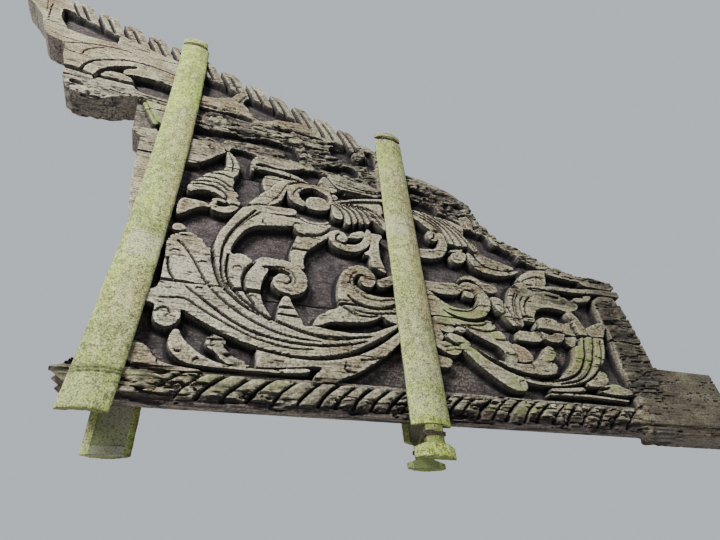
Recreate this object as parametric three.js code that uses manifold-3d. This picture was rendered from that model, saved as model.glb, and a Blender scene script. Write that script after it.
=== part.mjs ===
// Carved floor beam end of a torogan house, with the split bamboo culms that clamp its planks.
// Millimetres, +Z up, +X towards the house wall, +Y from the seen face to the far face.
// The outline and the carving are drawn in the plane of the planks: u along the beam from its
// broken foot tip, v up from its underside. The whole is then moved so that the middle of the
// beam's root face, which the house holds, lies at the origin.

import * as THREE from 'three';
import { mergeVertices } from 'three/addons/utils/BufferGeometryUtils.js';
import Module from 'manifold-3d';

const wasm = await Module();
wasm.setup();

// Driving dimensions
const thickness = 108;
const reliefDepth = 36;
const seamGap = 0.3;
const rootLength = 2150;
const rootHeight = 240;
const wallStart = 1895;
const lowerSeam = 350;
const middleSeam = 880;
const upperSeam = 1120;
const topOfAll = 1900;

const footRail = { low: 8, height: 84, end: 1745, pitch: 92, groove: 16, depth: 9, slant: 34 };
const crestRail = { height: 92, groove: 14, depth: 11, lean: 0.45 };

const culmSide = 8;
const culmWall = 17;
const nodeSwell = 2;
const nodeHeight = 22;
const neckGroove = 4;
const tieThickness = 5;
const tieHeight = 12;
const tieSlack = 0.7;

// A culm has this half width and bulges this far out of the planks' face. A neck runs from and to
// a height and keeps this half width towards the tip and towards the house.
const culms = [
  { name: 'front_left_culm', side: -1, u: 104, lean: 0.018, low: -42, high: 1672, half: 56, bulge: 22,
    nodes: [490, 1095], necks: [[1612, 1634, 44, 41]], top: [54, 46] },
  { name: 'back_left_culm', side: 1, u: 150, lean: -0.006, low: -96, high: 1672, half: 56, bulge: 28,
    nodes: [-78, 520, 1120], necks: [[1612, 1634, 44, 41]] },
  { name: 'front_middle_culm', side: -1, u: 941, lean: 0.0228, low: -116, high: 1293, half: 60, bulge: 28,
    nodes: [-98, -60, -15, 104, 724], necks: [[1240, 1268, 28, 34], [-77, -29, 25, 27]] },
  { name: 'back_middle_culm', side: 1, u: 967, lean: 0, low: -102, high: 1293, half: 60, bulge: 28,
    nodes: [-88, -50, 540, 1140], necks: [[1240, 1268, 28, 34], [-77, -29, 25, 27]] },
];
const ties = [
  { name: 'left_top_tie', front: 0, back: 1, neck: 0 },
  { name: 'middle_top_tie', front: 2, back: 3, neck: 0 },
  { name: 'middle_foot_tie', front: 2, back: 3, neck: 1 },
];

// Colours from the photograph
const weatheredWood = new THREE.MeshStandardMaterial({ color: 0x9a9582, roughness: 0.9, metalness: 0 });
const rottedWood = new THREE.MeshStandardMaterial({ color: 0x857f70, roughness: 0.95, metalness: 0 });
const culmSkin = new THREE.MeshStandardMaterial({ color: 0xa9ad84, roughness: 0.7, metalness: 0 });
const tieWire = new THREE.MeshStandardMaterial({ color: 0x4a463e, roughness: 0.85, metalness: 0 });

const house = new THREE.Group();
house.position.set(-rootLength, -thickness / 2, -rootHeight / 2);

// Joining and cutting
function solidOf(geometry) {
  const bare = geometry.clone();
  bare.deleteAttribute('normal');
  bare.deleteAttribute('uv');
  const merged = mergeVertices(bare, 1e-4);
  return new wasm.Manifold(new wasm.Mesh({
    numProp: 3,
    vertProperties: new Float32Array(merged.attributes.position.array),
    triVerts: new Uint32Array(merged.index.array),
  }));
}

function geometryOf(solid) {
  const mesh = solid.getMesh();
  const geometry = new THREE.BufferGeometry();
  geometry.setAttribute('position', new THREE.BufferAttribute(mesh.vertProperties, 3));
  geometry.setIndex(new THREE.BufferAttribute(mesh.triVerts, 1));
  const faceted = geometry.toNonIndexed();
  faceted.computeVertexNormals();
  return faceted;
}

function largestOf(solid) {
  const pieces = solid.decompose();
  pieces.sort((a, b) => b.volume() - a.volume());
  return pieces[0];
}

function boxOf(low, high) {
  const size = high.map((value, axis) => value - low[axis]);
  const box = new THREE.BoxGeometry(...size);
  box.translate(...low.map((value, axis) => value + size[axis] / 2));
  return solidOf(box);
}

// A plate: a closed outline in the plane of the planks, between two depths
function plate(points, near, far) {
  const shape = new THREE.Shape(points);
  const geometry = new THREE.ExtrudeGeometry(shape, { depth: far - near, bevelEnabled: false });
  geometry.rotateX(Math.PI / 2);
  geometry.translate(0, far, 0);
  return solidOf(geometry);
}

function smoothLine(points, samples) {
  const curve = new THREE.SplineCurve(points.map(([u, v]) => new THREE.Vector2(u, v)));
  return curve.getSpacedPoints(samples);
}

// A ribbon follows a line with a width that eases through the listed widths
function ribbonOutline(line, widths) {
  const left = [];
  const right = [];
  line.forEach((point, index) => {
    const before = line[Math.max(index - 1, 0)];
    const after = line[Math.min(index + 1, line.length - 1)];
    const along = after.clone().sub(before).normalize();
    const across = new THREE.Vector2(-along.y, along.x);
    const station = (index / (line.length - 1)) * (widths.length - 1);
    const lower = Math.min(Math.floor(station), widths.length - 2);
    const width = THREE.MathUtils.lerp(widths[lower], widths[lower + 1], station - lower);
    left.push(point.clone().addScaledVector(across, width / 2));
    right.push(point.clone().addScaledVector(across, -width / 2));
  });
  return [...left, ...right.reverse()];
}

// A scroll's spiral line: it starts at the rim and winds inwards
function spiralLine(centre, startAngle, turn, outerRadius, innerRadius, samples) {
  return Array.from({ length: samples + 1 }, (_, index) => {
    const share = index / samples;
    const angle = startAngle + turn * share;
    const radius = THREE.MathUtils.lerp(outerRadius, innerRadius, share);
    return [centre[0] + radius * Math.cos(angle), centre[1] + radius * Math.sin(angle)];
  });
}

function discOutline(centre, radius, sides) {
  return Array.from({ length: sides }, (_, index) => {
    const angle = (index / sides) * 2 * Math.PI;
    return new THREE.Vector2(centre[0] + radius * Math.cos(angle), centre[1] + radius * Math.sin(angle));
  });
}

// The crest is scalloped like a rope. These are the notches between its scallops, from the tip down
// to the middle culm; past it the rope is rotted away.
const crestNotches = [
  [-395, 1748], [-287, 1700], [-180, 1658], [-75, 1614], [22, 1580], [125, 1540], [237, 1489],
  [345, 1431], [447, 1389], [543, 1347], [640, 1302], [740, 1258], [838, 1212],
];
const tipCrest = [[-600, 1850], [-560, 1826], [-500, 1798], [-440, 1770]];

// A scallop rises steeply after its notch, has a round top and slopes down to the next notch
function scallop(notch, next) {
  const at = (share, rise) => [
    THREE.MathUtils.lerp(notch[0], next[0], share), THREE.MathUtils.lerp(notch[1], next[1], share) + rise,
  ];
  return [notch, at(0.06, 17), at(0.3, 31), at(0.55, 32), at(0.8, 22)];
}

const crestLine = [
  ...tipCrest,
  ...crestNotches.slice(1).flatMap((notch, index) => scallop(crestNotches[index], notch)),
  crestNotches[crestNotches.length - 1], [872, 1216],
];
const rottedCrest = [
  [905, 1190], [960, 1118], [1023, 1081], [1115, 1070], [1230, 1018], [1311, 954], [1334, 874],
  [1403, 782], [1460, 759], [1575, 707], [1690, 661], [wallStart, 650],
];
const tipAndLobes = [
  [-11, 989], [-20, 1080], [-28, 1176], [-60, 1162], [-92, 1145], [-128, 1126], [-155, 1119],
  [-200, 1119], [-242, 1131], [-270, 1160], [-285, 1205], [-290, 1250], [-306, 1300], [-318, 1337],
  [-323, 1370], [-326, 1400], [-345, 1422], [-375, 1430], [-402, 1447], [-417, 1470], [-430, 1500],
  [-455, 1574], [-500, 1640], [-540, 1690], [-580, 1780],
];
const leftEdge = [
  [30, 34], [8, 47], [-4, 56], [2, 66], [22, 74], [16, 82], [36, 92], [36, 102], [62, 112], [108, 108],
  [104, 250], [90, 400], [69, 552], [57, 610], [34, 782], [23, 954],
];

function boardOutline() {
  return [
    [58, 6], [300, 0], [rootLength, 0], [rootLength, rootHeight], [wallStart, rootHeight],
    ...[...rottedCrest].reverse(), ...[...crestLine].reverse(), ...[...tipAndLobes].reverse(),
    ...[...leftEdge].reverse(),
  ].map(([u, v]) => new THREE.Vector2(u, v));
}

// The carving: each stroke is a line, its widths and how far its top lies below the face
const strokes = [
  // Great fan of leaves, left of the middle culm
  { line: [[885, 272], [800, 205], [700, 172], [590, 165], [480, 186], [365, 226], [262, 286],
      [190, 345]],
    widths: [10, 26, 34, 36, 36, 40, 34, 12], drop: 0 },
  { line: [[880, 300], [780, 238], [680, 208], [580, 210], [470, 238], [370, 290], [290, 370],
      [228, 478]],
    widths: [8, 22, 28, 30, 32, 38, 48, 30], drop: 3 },
  { line: [[820, 282], [720, 240], [620, 238], [520, 258], [430, 305], [360, 385], [310, 480]],
    widths: [8, 18, 24, 26, 32, 44, 34], drop: 6 },
  { line: [[560, 262], [490, 290], [430, 340], [398, 410], [392, 480]],
    widths: [10, 26, 38, 52, 34], drop: 2 },
  // Main stem and its leaf
  { line: [[372, 345], [345, 430], [336, 520], [346, 600], [388, 655], [450, 676], [510, 668],
      [566, 642]],
    widths: [16, 22, 26, 30, 34, 36, 34, 10], drop: 0 },
  // Fluted stem running down into the large spiral
  { line: [[688, 690], [660, 630], [612, 596], [578, 555], [568, 505], [590, 462], [600, 410],
      [572, 368], [528, 366], [510, 400], [534, 424]],
    widths: [26, 44, 50, 48, 40, 30, 34, 36, 32, 30, 22], drop: 0 },
  { line: [[560, 470], [500, 470], [455, 448], [432, 400], [432, 345], [452, 300], [490, 268]],
    widths: [16, 24, 30, 34, 40, 40, 14], drop: 3 },
  // Upright leaf under the large spiral and the leaf at its right
  { line: [[540, 345], [542, 300], [556, 262]], widths: [12, 34, 62], drop: 8 },
  { line: [[640, 272], [700, 312], [790, 316], [872, 286]], widths: [10, 36, 34, 12], drop: 8 },
  // Lower left spiral, bud and the low sickles on the rail
  { line: [[172, 285], [215, 276], [250, 250], [246, 212], [214, 198], [192, 222], [206, 244]],
    widths: [14, 24, 28, 28, 26, 24, 16], drop: 0 },
  { line: [[250, 196], [262, 150], [300, 118], [380, 100]], widths: [12, 40, 34, 14], drop: 5 },
  { line: [[338, 190], [372, 176], [386, 140], [430, 112]], widths: [30, 40, 30, 14], drop: 6 },
  { line: [[466, 140], [560, 128], [650, 138], [760, 160]], widths: [30, 34, 34, 16], drop: 5 },
  // Small spirals beside the middle culm
  { line: [[716, 652], [742, 640], [742, 610], [714, 600], [690, 622], [700, 668]],
    widths: [12, 20, 22, 22, 20, 10], drop: 2 },
  { line: [[688, 640], [690, 592], [736, 578], [790, 594], [826, 640], [830, 690]],
    widths: [14, 26, 30, 32, 26, 12], drop: 0 },
  { line: [[840, 500], [852, 560], [852, 620], [862, 672]], widths: [20, 34, 36, 20], drop: 5 },
  { line: [[890, 392], [820, 396], [750, 406], [728, 452], [748, 496], [790, 508], [822, 480],
      [820, 442], [788, 436], [782, 462]],
    widths: [24, 34, 42, 40, 36, 34, 32, 30, 26, 14], drop: 0 },
  // Upper left scroll with its plume
  { line: [[150, 640], [220, 668], [280, 668], [322, 656], [348, 682], [330, 716], [296, 706],
      [306, 684]],
    widths: [14, 22, 24, 24, 24, 22, 20, 12], drop: 2 },
  { line: [[200, 740], [262, 770], [322, 792], [352, 850], [362, 900]],
    widths: [14, 40, 56, 40, 14], drop: 4 },
  { line: [[300, 850], [330, 900], [350, 960]], widths: [14, 40, 12], drop: 8 },
  // Ring scroll and the leaves around it
  { line: spiralLine([632, 795], 0.4, 4.9, 82, 66, 16), widths: [26, 34, 34, 34, 26], drop: 0 },
  { line: [[422, 722], [460, 772], [500, 832], [560, 862]], widths: [14, 50, 44, 12], drop: 5 },
  { line: [[418, 862], [500, 892], [590, 900], [650, 876]], widths: [14, 44, 36, 12], drop: 3 },
  { line: [[690, 800], [770, 838], [890, 858]], widths: [12, 22, 20], drop: 2 },
  { line: [[700, 792], [760, 796], [830, 780], [892, 740]], widths: [14, 34, 38, 22], drop: 4 },
  { line: [[700, 780], [742, 762], [770, 722]], widths: [16, 40, 34], drop: 6 },
  { line: [[560, 712], [610, 680], [680, 690], [700, 752]], widths: [12, 26, 28, 14], drop: 6 },
  { line: [[655, 862], [700, 900], [780, 910], [890, 905]], widths: [14, 44, 54, 40], drop: 6 },
  // Right of the middle culm: the C scroll and its leaves
  { line: [[1010, 446], [1060, 392], [1130, 368], [1206, 376], [1254, 430], [1242, 498],
      [1186, 526], [1140, 494], [1158, 456], [1196, 458]],
    widths: [18, 30, 34, 36, 38, 38, 36, 30, 26, 14], drop: 0 },
  { line: [[1010, 350], [1080, 318], [1180, 316], [1276, 352]], widths: [20, 36, 34, 12], drop: 5 },
  { line: [[1010, 300], [1080, 272], [1150, 282]], widths: [20, 34, 12], drop: 8 },
  // Great circle with its boss and the bands at its left
  { line: [[1015, 330], [1090, 250], [1200, 184], [1330, 156], [1450, 160], [1560, 196],
      [1636, 272], [1672, 362], [1688, 420]],
    widths: [16, 34, 44, 48, 50, 50, 46, 36, 12], drop: 0 },
  { line: [[1622, 300], [1600, 400], [1530, 470], [1440, 478], [1376, 424], [1372, 340],
      [1430, 290], [1500, 290]],
    widths: [16, 34, 40, 38, 36, 34, 28, 14], drop: 2 },
  { line: [[1320, 340], [1334, 430], [1372, 520], [1452, 590], [1580, 636]],
    widths: [14, 30, 38, 40, 16], drop: 0 },
  { line: [[1420, 500], [1500, 560], [1600, 590], [1720, 596]], widths: [12, 34, 38, 16], drop: 4 },
  { line: [[1600, 440], [1650, 500], [1720, 520]], widths: [20, 44, 14], drop: 5 },
  { line: [[1250, 240], [1330, 222], [1400, 240], [1456, 268]], widths: [14, 40, 38, 12], drop: 6 },
  { line: [[1640, 180], [1700, 250], [1760, 400], [1800, 560]], widths: [30, 44, 50, 60], drop: 12 },
  // Upper right ring, long leaf and the worn fan above
  { line: spiralLine([1052, 672], 2.6, 4.6, 66, 50, 14), widths: [22, 30, 30, 24], drop: 2 },
  { line: [[1160, 612], [1200, 640], [1262, 612], [1340, 596], [1430, 628]],
    widths: [14, 44, 40, 36, 12], drop: 3 },
  { line: [[1015, 838], [1110, 832], [1200, 778], [1284, 690]], widths: [24, 44, 52, 22], drop: 5 },
  { line: [[1015, 770], [1090, 760], [1150, 712]], widths: [20, 40, 22], drop: 8 },
];

const bosses = [
  { centre: [650, 778], radius: 40, drop: 2 },
  { centre: [1472, 366], radius: 50, drop: 0 },
];

// Worn carving of the upper plank and what the rot has left under the crest rope
const wornStrokes = [
  { line: [[150, 925], [260, 960], [420, 968], [560, 950]], widths: [24, 46, 50, 20], drop: 6 },
  { line: [[420, 1010], [520, 1040], [600, 1080]], widths: [20, 60, 30], drop: 4 },
  { line: [[620, 965], [760, 960], [900, 952]], widths: [24, 60, 50], drop: 6 },
  { line: [[160, 1060], [320, 1080], [520, 1092], [760, 1080], [930, 1050]],
    widths: [70, 60, 46, 60, 40], drop: 7 },
  { line: [[1040, 1020], [1120, 1010], [1220, 960]], widths: [50, 60, 34], drop: 8 },
  { line: [[1040, 930], [1150, 920], [1250, 900]], widths: [30, 50, 30], drop: 8 },
];
const crestStrokes = [
  // Bands of the crest plank between the rope and the rotted seam
  { line: [[160, 1170], [330, 1180], [560, 1160], [760, 1150], [880, 1140]],
    widths: [60, 70, 60, 50, 40], drop: 8 },
  { line: [[190, 1245], [280, 1262], [350, 1240]], widths: [60, 76, 20], drop: 5 },
  { line: [[190, 1395], [270, 1380], [330, 1330]], widths: [40, 60, 16], drop: 6 },
  { line: [[400, 1235], [520, 1240], [660, 1200]], widths: [24, 44, 20], drop: 8 },
  // Lower lobe: the two arcs around its boss and the lip at its foot
  { line: [[-290, 1290], [-262, 1345], [-200, 1392], [-110, 1400], [-20, 1376], [60, 1350]],
    widths: [50, 60, 64, 66, 60, 50], drop: 0 },
  { line: [[-228, 1250], [-180, 1310], [-110, 1330], [-50, 1296]], widths: [20, 38, 38, 16], drop: 6 },
  { line: [[-262, 1185], [-180, 1160], [-90, 1170], [20, 1180]], widths: [50, 70, 70, 60], drop: 3 },
  // Upper lobe: the blank under the rope's pocket and its flutes
  { line: [[-410, 1500], [-330, 1470], [-220, 1450], [-90, 1450], [50, 1440]],
    widths: [60, 90, 90, 90, 90], drop: 0 },
  { line: [[-425, 1540], [-438, 1620], [-470, 1700], [-520, 1770]], widths: [50, 66, 90, 90], drop: 0 },
  { line: [[-330, 1545], [-200, 1530], [-60, 1500], [60, 1480]], widths: [44, 60, 60, 50], drop: 2 },
];
const crestBosses = [{ centre: [-104, 1264], radius: 52, drop: 4 }];

function carving(list, discs, side) {
  const raised = [];
  const place = (points, drop) => {
    const overlap = 5;
    if (side < 0) {
      raised.push(plate(points, drop, reliefDepth + overlap));
    } else {
      raised.push(plate(points, thickness - reliefDepth - overlap, thickness - drop));
    }
  };
  list.forEach(({ line, widths, drop }) => {
    place(ribbonOutline(smoothLine(line, line.length * 2), widths), drop);
  });
  discs.forEach(({ centre, radius, drop }) => place(discOutline(centre, radius, 20), drop));
  return raised;
}

// Rails carved as rope: a full-depth band whose strands are parted by slanted grooves
function footRope() {
  const { low, height, end, pitch, groove, depth, slant } = footRail;
  const band = plate(
    [[0, low + 26], [20, low + 6], [120, low], [end, low], [end, low + height], [110, low + height],
      [0, low + height - 8]].map(([u, v]) => new THREE.Vector2(u, v)),
    0, thickness);
  const cuts = [];
  for (let u = 190; u < end - 30; u += pitch) {
    const slot = [
      [u, low - 4], [u + groove, low - 4],
      [u + groove + slant, low + height + 3], [u + slant, low + height + 3],
    ].map(([a, b]) => new THREE.Vector2(a, b));
    cuts.push(plate(slot, -5, depth));
    cuts.push(plate(slot, thickness - depth, thickness + 5));
  }
  return band.subtract(wasm.Manifold.union(cuts));
}

function crestRope() {
  const { height, groove, depth, lean } = crestRail;
  const under = [...crestNotches].reverse().map(([u, v]) => [u + lean * height, v - height]);
  const band = plate([...crestLine, ...under, [-455, 1690], [-540, 1690]]
    .map(([u, v]) => new THREE.Vector2(u, v)), 0, thickness);
  const cuts = [];
  const cut = (u, v, width) => {
    const slot = [
      [u - lean * 40, v + 40], [u - lean * 40 + width, v + 40],
      [u + lean * (height - 6) + width, v - height + 6], [u + lean * (height - 6), v - height + 6],
    ].map(([a, b]) => new THREE.Vector2(a, b));
    cuts.push(plate(slot, -5, depth));
    cuts.push(plate(slot, thickness - depth, thickness + 5));
  };
  crestNotches.forEach(([u, v], index) => {
    cut(u - groove / 2, v, groove);
    if (index + 1 < crestNotches.length) {
      const [nextU, nextV] = crestNotches[index + 1];
      cut(THREE.MathUtils.lerp(u, nextU, 0.45), THREE.MathUtils.lerp(v, nextV, 0.45) + 16, groove * 0.6);
    }
  });
  return band.subtract(wasm.Manifold.union(cuts));
}

// The planks
function plankBetween(low, high, raised) {
  const core = plate(boardOutline(), reliefDepth, thickness - reliefDepth);
  const whole = wasm.Manifold.union([core, ...raised]);
  const edge = plate(boardOutline(), -1, thickness + 1);
  const band = boxOf(
    [-650, -10, low + seamGap / 2],
    [rootLength + 10, thickness + 10, high - seamGap / 2],
  );
  return largestOf(whole.intersect(edge).intersect(band));
}

function addPlank(name, solid, material) {
  const mesh = new THREE.Mesh(geometryOf(solid), material);
  mesh.name = name;
  house.add(mesh);
}

const bothSides = (list, discs) => [...carving(list, discs, -1), ...carving(list, discs, 1)];
const faceCarving = bothSides(strokes, bosses);
const root = plate([[1700, 0], [rootLength, 0], [rootLength, rootHeight], [1700, 120]]
  .map(([u, v]) => new THREE.Vector2(u, v)), 0, thickness);

addPlank('floor_beam', plankBetween(-5, lowerSeam, [...faceCarving, footRope(), root]), weatheredWood);
addPlank('middle_plank', plankBetween(lowerSeam, middleSeam, faceCarving), weatheredWood);
addPlank('upper_plank', plankBetween(middleSeam, upperSeam, [
  ...faceCarving, ...bothSides(wornStrokes, []),
]), rottedWood);
addPlank('crest_plank', plankBetween(upperSeam, topOfAll, [
  ...bothSides(wornStrokes, []), ...bothSides(crestStrokes, crestBosses), crestRope(),
]), weatheredWood);

// The split culms: a wide strip of a thick bamboo stem with short upright sides, faint nodes, walls
// across its hollow, and necks notched for the ties. It is seated on the carving.
function circleOf({ half, bulge }) {
  const sag = bulge - culmSide;
  const radius = (half ** 2 + sag ** 2) / (2 * sag);
  return { radius, axis: radius - bulge };
}

function culmProfile(radius, { low, high, nodes, necks }) {
  const swells = nodes.filter((node) => node > low + nodeHeight && node < high - nodeHeight)
    .filter((node) => necks.every(([from, to]) => node < from || node > to))
    .map((node) => [
      [node - nodeHeight / 2, radius],
      [node, radius + nodeSwell],
      [node + nodeHeight / 2, radius],
    ]);
  const grooves = necks.map(([from, to]) => [
    [from - 3, radius],
    [from + 1, radius - neckGroove],
    [to - 1, radius - neckGroove],
    [to + 3, radius],
  ]);
  const middle = [...swells, ...grooves].sort((a, b) => a[0][0] - b[0][0]).flat();
  return [[low, 0], [low, radius], ...middle, [high, radius], [high, 0]]
    .map(([height, reach]) => new THREE.Vector2(reach, height));
}

function turned(profile, segments) {
  const geometry = new THREE.LatheGeometry(profile, segments);
  geometry.rotateX(Math.PI / 2);
  return solidOf(geometry);
}

function hollowBetween(radius, low, high) {
  const profile = [
    [low, 0], [low, radius - 10], [low + 12, radius],
    [high - 12, radius], [high, radius - 10], [high, 0],
  ].map(([height, reach]) => new THREE.Vector2(reach, height));
  return turned(profile, 72);
}

function addCulm(culm) {
  const { name, side, u, lean, low, high, half, nodes, necks, top } = culm;
  const { radius, axis } = circleOf(culm);
  const wallHalf = 4;
  let solid = turned(culmProfile(radius, culm), 72);
  let start = low - 40;
  [...nodes, high + 40].forEach((wall) => {
    if (wall - start > 60) {
      solid = solid.subtract(hollowBetween(radius - culmWall, start + wallHalf, wall - wallHalf));
    }
    start = wall;
  });
  solid = solid.translate([0, -side * axis, 0]);
  const strip = side < 0
    ? boxOf([-half, -80, low - 5], [half, -seamGap, high + 5])
    : boxOf([-half, seamGap, low - 5], [half, 80, high + 5]);
  solid = solid.intersect(strip);
  const cuts = top ? [...necks, [necks[0][1], high + 10, ...top]] : necks;
  cuts.forEach(([from, to, towardsTip, towardsHouse]) => {
    solid = solid.subtract(boxOf([-half - 5, -90, from], [-towardsTip, 90, to]));
    solid = solid.subtract(boxOf([towardsHouse, -90, from], [half + 5, 90, to]));
  });
  const mesh = new THREE.Mesh(geometryOf(largestOf(solid)), culmSkin);
  mesh.name = name;
  mesh.rotation.y = lean;
  mesh.position.set(u, side < 0 ? 0 : thickness, 0);
  house.add(mesh);
}

culms.forEach(addCulm);

// The ties: a flat band of wire turns laid round the necks of a front and a back culm. It lies on
// each culm's curved face and runs straight from one culm to the other.
function addTie({ name, front, back, neck }) {
  const [from, to, towardsTip, towardsHouse] = culms[front].necks[neck];
  const height = (from + to) / 2;
  const steps = 8;
  const loop = (out) => {
    const points = [];
    [culms[front], culms[back]].forEach((culm) => {
      const { radius, axis } = circleOf(culm);
      const face = culm.side < 0 ? 0 : thickness;
      const middle = culm.u + culm.lean * height;
      const ends = [-(towardsTip + out), towardsHouse + out];
      const [first, last] = culm.side < 0 ? ends : [ends[1], ends[0]];
      points.push([middle + first, face]);
      for (let step = 0; step <= steps; step += 1) {
        const x = THREE.MathUtils.lerp(first, last, step / steps);
        const rise = Math.sqrt((radius - neckGroove + out) ** 2 - x ** 2) - axis;
        points.push([middle + x, face + culm.side * rise]);
      }
      points.push([middle + last, face]);
    });
    return points.map(([u, depth]) => new THREE.Vector2(u, depth));
  };
  const shape = new THREE.Shape(loop(tieSlack + tieThickness));
  shape.holes.push(new THREE.Path(loop(tieSlack)));
  const geometry = new THREE.ExtrudeGeometry(shape, { depth: tieHeight, bevelEnabled: false });
  geometry.translate(0, 0, height - tieHeight / 2);
  const mesh = new THREE.Mesh(geometry, tieWire);
  mesh.name = name;
  house.add(mesh);
}

ties.forEach(addTie);

export default house;
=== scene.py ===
import math
import bmesh
import bpy
import numpy as np
from mathutils import Matrix, Vector


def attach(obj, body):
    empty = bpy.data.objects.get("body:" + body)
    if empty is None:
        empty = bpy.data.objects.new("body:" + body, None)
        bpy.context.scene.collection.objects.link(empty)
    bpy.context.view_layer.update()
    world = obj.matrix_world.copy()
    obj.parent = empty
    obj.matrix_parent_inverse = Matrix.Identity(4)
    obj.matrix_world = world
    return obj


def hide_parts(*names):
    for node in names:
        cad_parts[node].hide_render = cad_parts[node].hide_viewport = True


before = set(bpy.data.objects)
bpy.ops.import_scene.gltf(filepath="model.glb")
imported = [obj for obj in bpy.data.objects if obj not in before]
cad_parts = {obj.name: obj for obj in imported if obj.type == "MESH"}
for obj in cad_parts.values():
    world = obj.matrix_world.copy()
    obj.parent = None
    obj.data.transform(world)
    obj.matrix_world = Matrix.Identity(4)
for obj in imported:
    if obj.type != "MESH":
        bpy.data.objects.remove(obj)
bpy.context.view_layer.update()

# Carved floor beam end of a torogan house. The carving is drawn in the plane of the planks, in
# millimetres: u along the beam from its foot tip, v up from its underside, and a depth below the
# seen face. inFrame turns that into the frame's metres. Spacing is the size of a mesh cell,
# groundDepth the level between the leaves, wallRun the run of a carved wall, fullDepth the depth
# that gets the darkest colour and cavityReach how far a point is compared with its surroundings.
board = {
    "thickness": 108, "rootLength": 2150, "rootHeight": 240, "rootStart": 1895, "tipHeight": 1870,
    "seams": {"floor_beam": (-5, 350), "middle_plank": (350, 880),
              "upper_plank": (880, 1120), "crest_plank": (1120, 1900)},
    "seamGap": 0.3, "groundDepth": 41, "fullDepth": 44, "deepestCut": 50, "ropeDeepest": 40,
    "nickDepth": 9, "wallRun": 4.2, "edgeRound": 1.6, "cavityReach": 11,
    "seenSpacing": 3.2, "farSpacing": 4.9, "cellWide": 1.14, "cellHigh": 0.88, "snapShare": 0.71,
    "margin": 12, "sharpAngle": 48, "ragged": 7.0, "farWear": 24, "splinter": 26,
}
seamCuts = [(350, 20, 1.5), (880, 14, 1.0), (1120, 14, 1.0)]  # height, depth, how far it gapes


def inFrame(u, v, depth):
    # millimetres in the plane of the planks to metres in the shared frame
    return np.stack([(u - board["rootLength"]) / 1000, (depth - board["thickness"] / 2) / 1000,
                     (v - board["rootHeight"] / 2) / 1000], axis=-1)


# The board's outline: notches of the crest, then the lines between them and the foot
crestNotches = np.array([
    (-395,1748), (-287,1700), (-180,1658), (-75,1614), (22,1580), (125,1540), (237,1489),
    (345,1431), (447,1389), (543,1347), (640,1302), (740,1258), (838,1212),
], float)
tipCrest = [(-600,1850), (-560,1826), (-500,1798), (-440,1770)]
rottedCrest = [
    (905,1190), (960,1118), (1023,1081), (1115,1070), (1230,1018), (1311,954), (1334,874),
    (1403,782), (1460,759), (1575,707), (1690,661), (1895,650),
]
tipAndLobes = [
    (-11,989), (-20,1080), (-28,1176), (-60,1162), (-92,1145), (-128,1126), (-155,1119),
    (-200,1119), (-242,1131), (-270,1160), (-285,1205), (-290,1250), (-306,1300), (-318,1337),
    (-323,1370), (-326,1400), (-345,1422), (-375,1430), (-402,1447), (-417,1470), (-430,1500),
    (-455,1574), (-500,1640), (-540,1690), (-580,1780),
]
leftEdge = [
    (30,34), (8,47), (-4,56), (2,66), (22,74), (16,82), (36,92), (36,102), (62,112), (108,108),
    (104,250), (90,400), (69,552), (57,610), (34,782), (23,954),
]


def scallops():
    # each scallop rises steeply after its notch, has a round top and slopes down to the next notch
    start, end = crestNotches[:-1, None], crestNotches[1:, None]
    share = np.array([0, 0.06, 0.3, 0.55, 0.8])[None, :, None]
    rise = np.array([0, 17, 31, 32, 22])[None, :, None] * np.array([0, 1])
    return (start + share * (end - start) + rise).reshape(-1, 2)


def drift(u, v, longU, longV, seed):
    # value noise from -1 to 1: random numbers on a lattice whose steps are longU and longV
    # millimetres, eased between its points
    rows, columns = 97, 101
    table = np.random.default_rng(seed).uniform(-1, 1, (rows, columns))
    x, y = u / longU + seed * 7.31, v / longV + seed * 3.17
    i, j = np.floor(x).astype(int), np.floor(y).astype(int)
    shareX, shareY = ease(0, 1, x - i), ease(0, 1, y - j)
    i, nextI, j, nextJ = i % rows, (i + 1) % rows, j % columns, (j + 1) % columns
    low = table[i, j] * (1 - shareX) + table[nextI, j] * shareX
    high = table[i, nextJ] * (1 - shareX) + table[nextI, nextJ] * shareX
    return low * (1 - shareY) + high * shareY


def ease(low, high, value):
    # 0 below low, 1 above high, and a smooth step between
    share = np.clip((value - low) / (high - low), 0, 1)
    return share * share * (3 - 2 * share)


def softened(points, closed, passes=2):
    # corner cutting: every pass puts new points at one and three quarters of each side
    line = np.array(points, float)
    for _ in range(passes):
        start = line if closed else line[:-1]
        end = np.roll(line, -1, axis=0) if closed else line[1:]
        cut = np.stack([0.75 * start + 0.25 * end, 0.25 * start + 0.75 * end], axis=1)
        cut = cut.reshape(-1, line.shape[1])
        line = cut if closed else np.vstack([line[:1], cut, line[-1:]])
    return line


def divided(line, step):
    # a closed line with points added so that no side is longer than the step
    pieces = []
    for start, end in zip(line, np.roll(line, -1, axis=0)):
        count = max(int(np.hypot(*(end - start)) / step), 1)
        pieces.append(start + np.arange(count)[:, None] / count * (end - start))
    return np.vstack(pieces)


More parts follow.
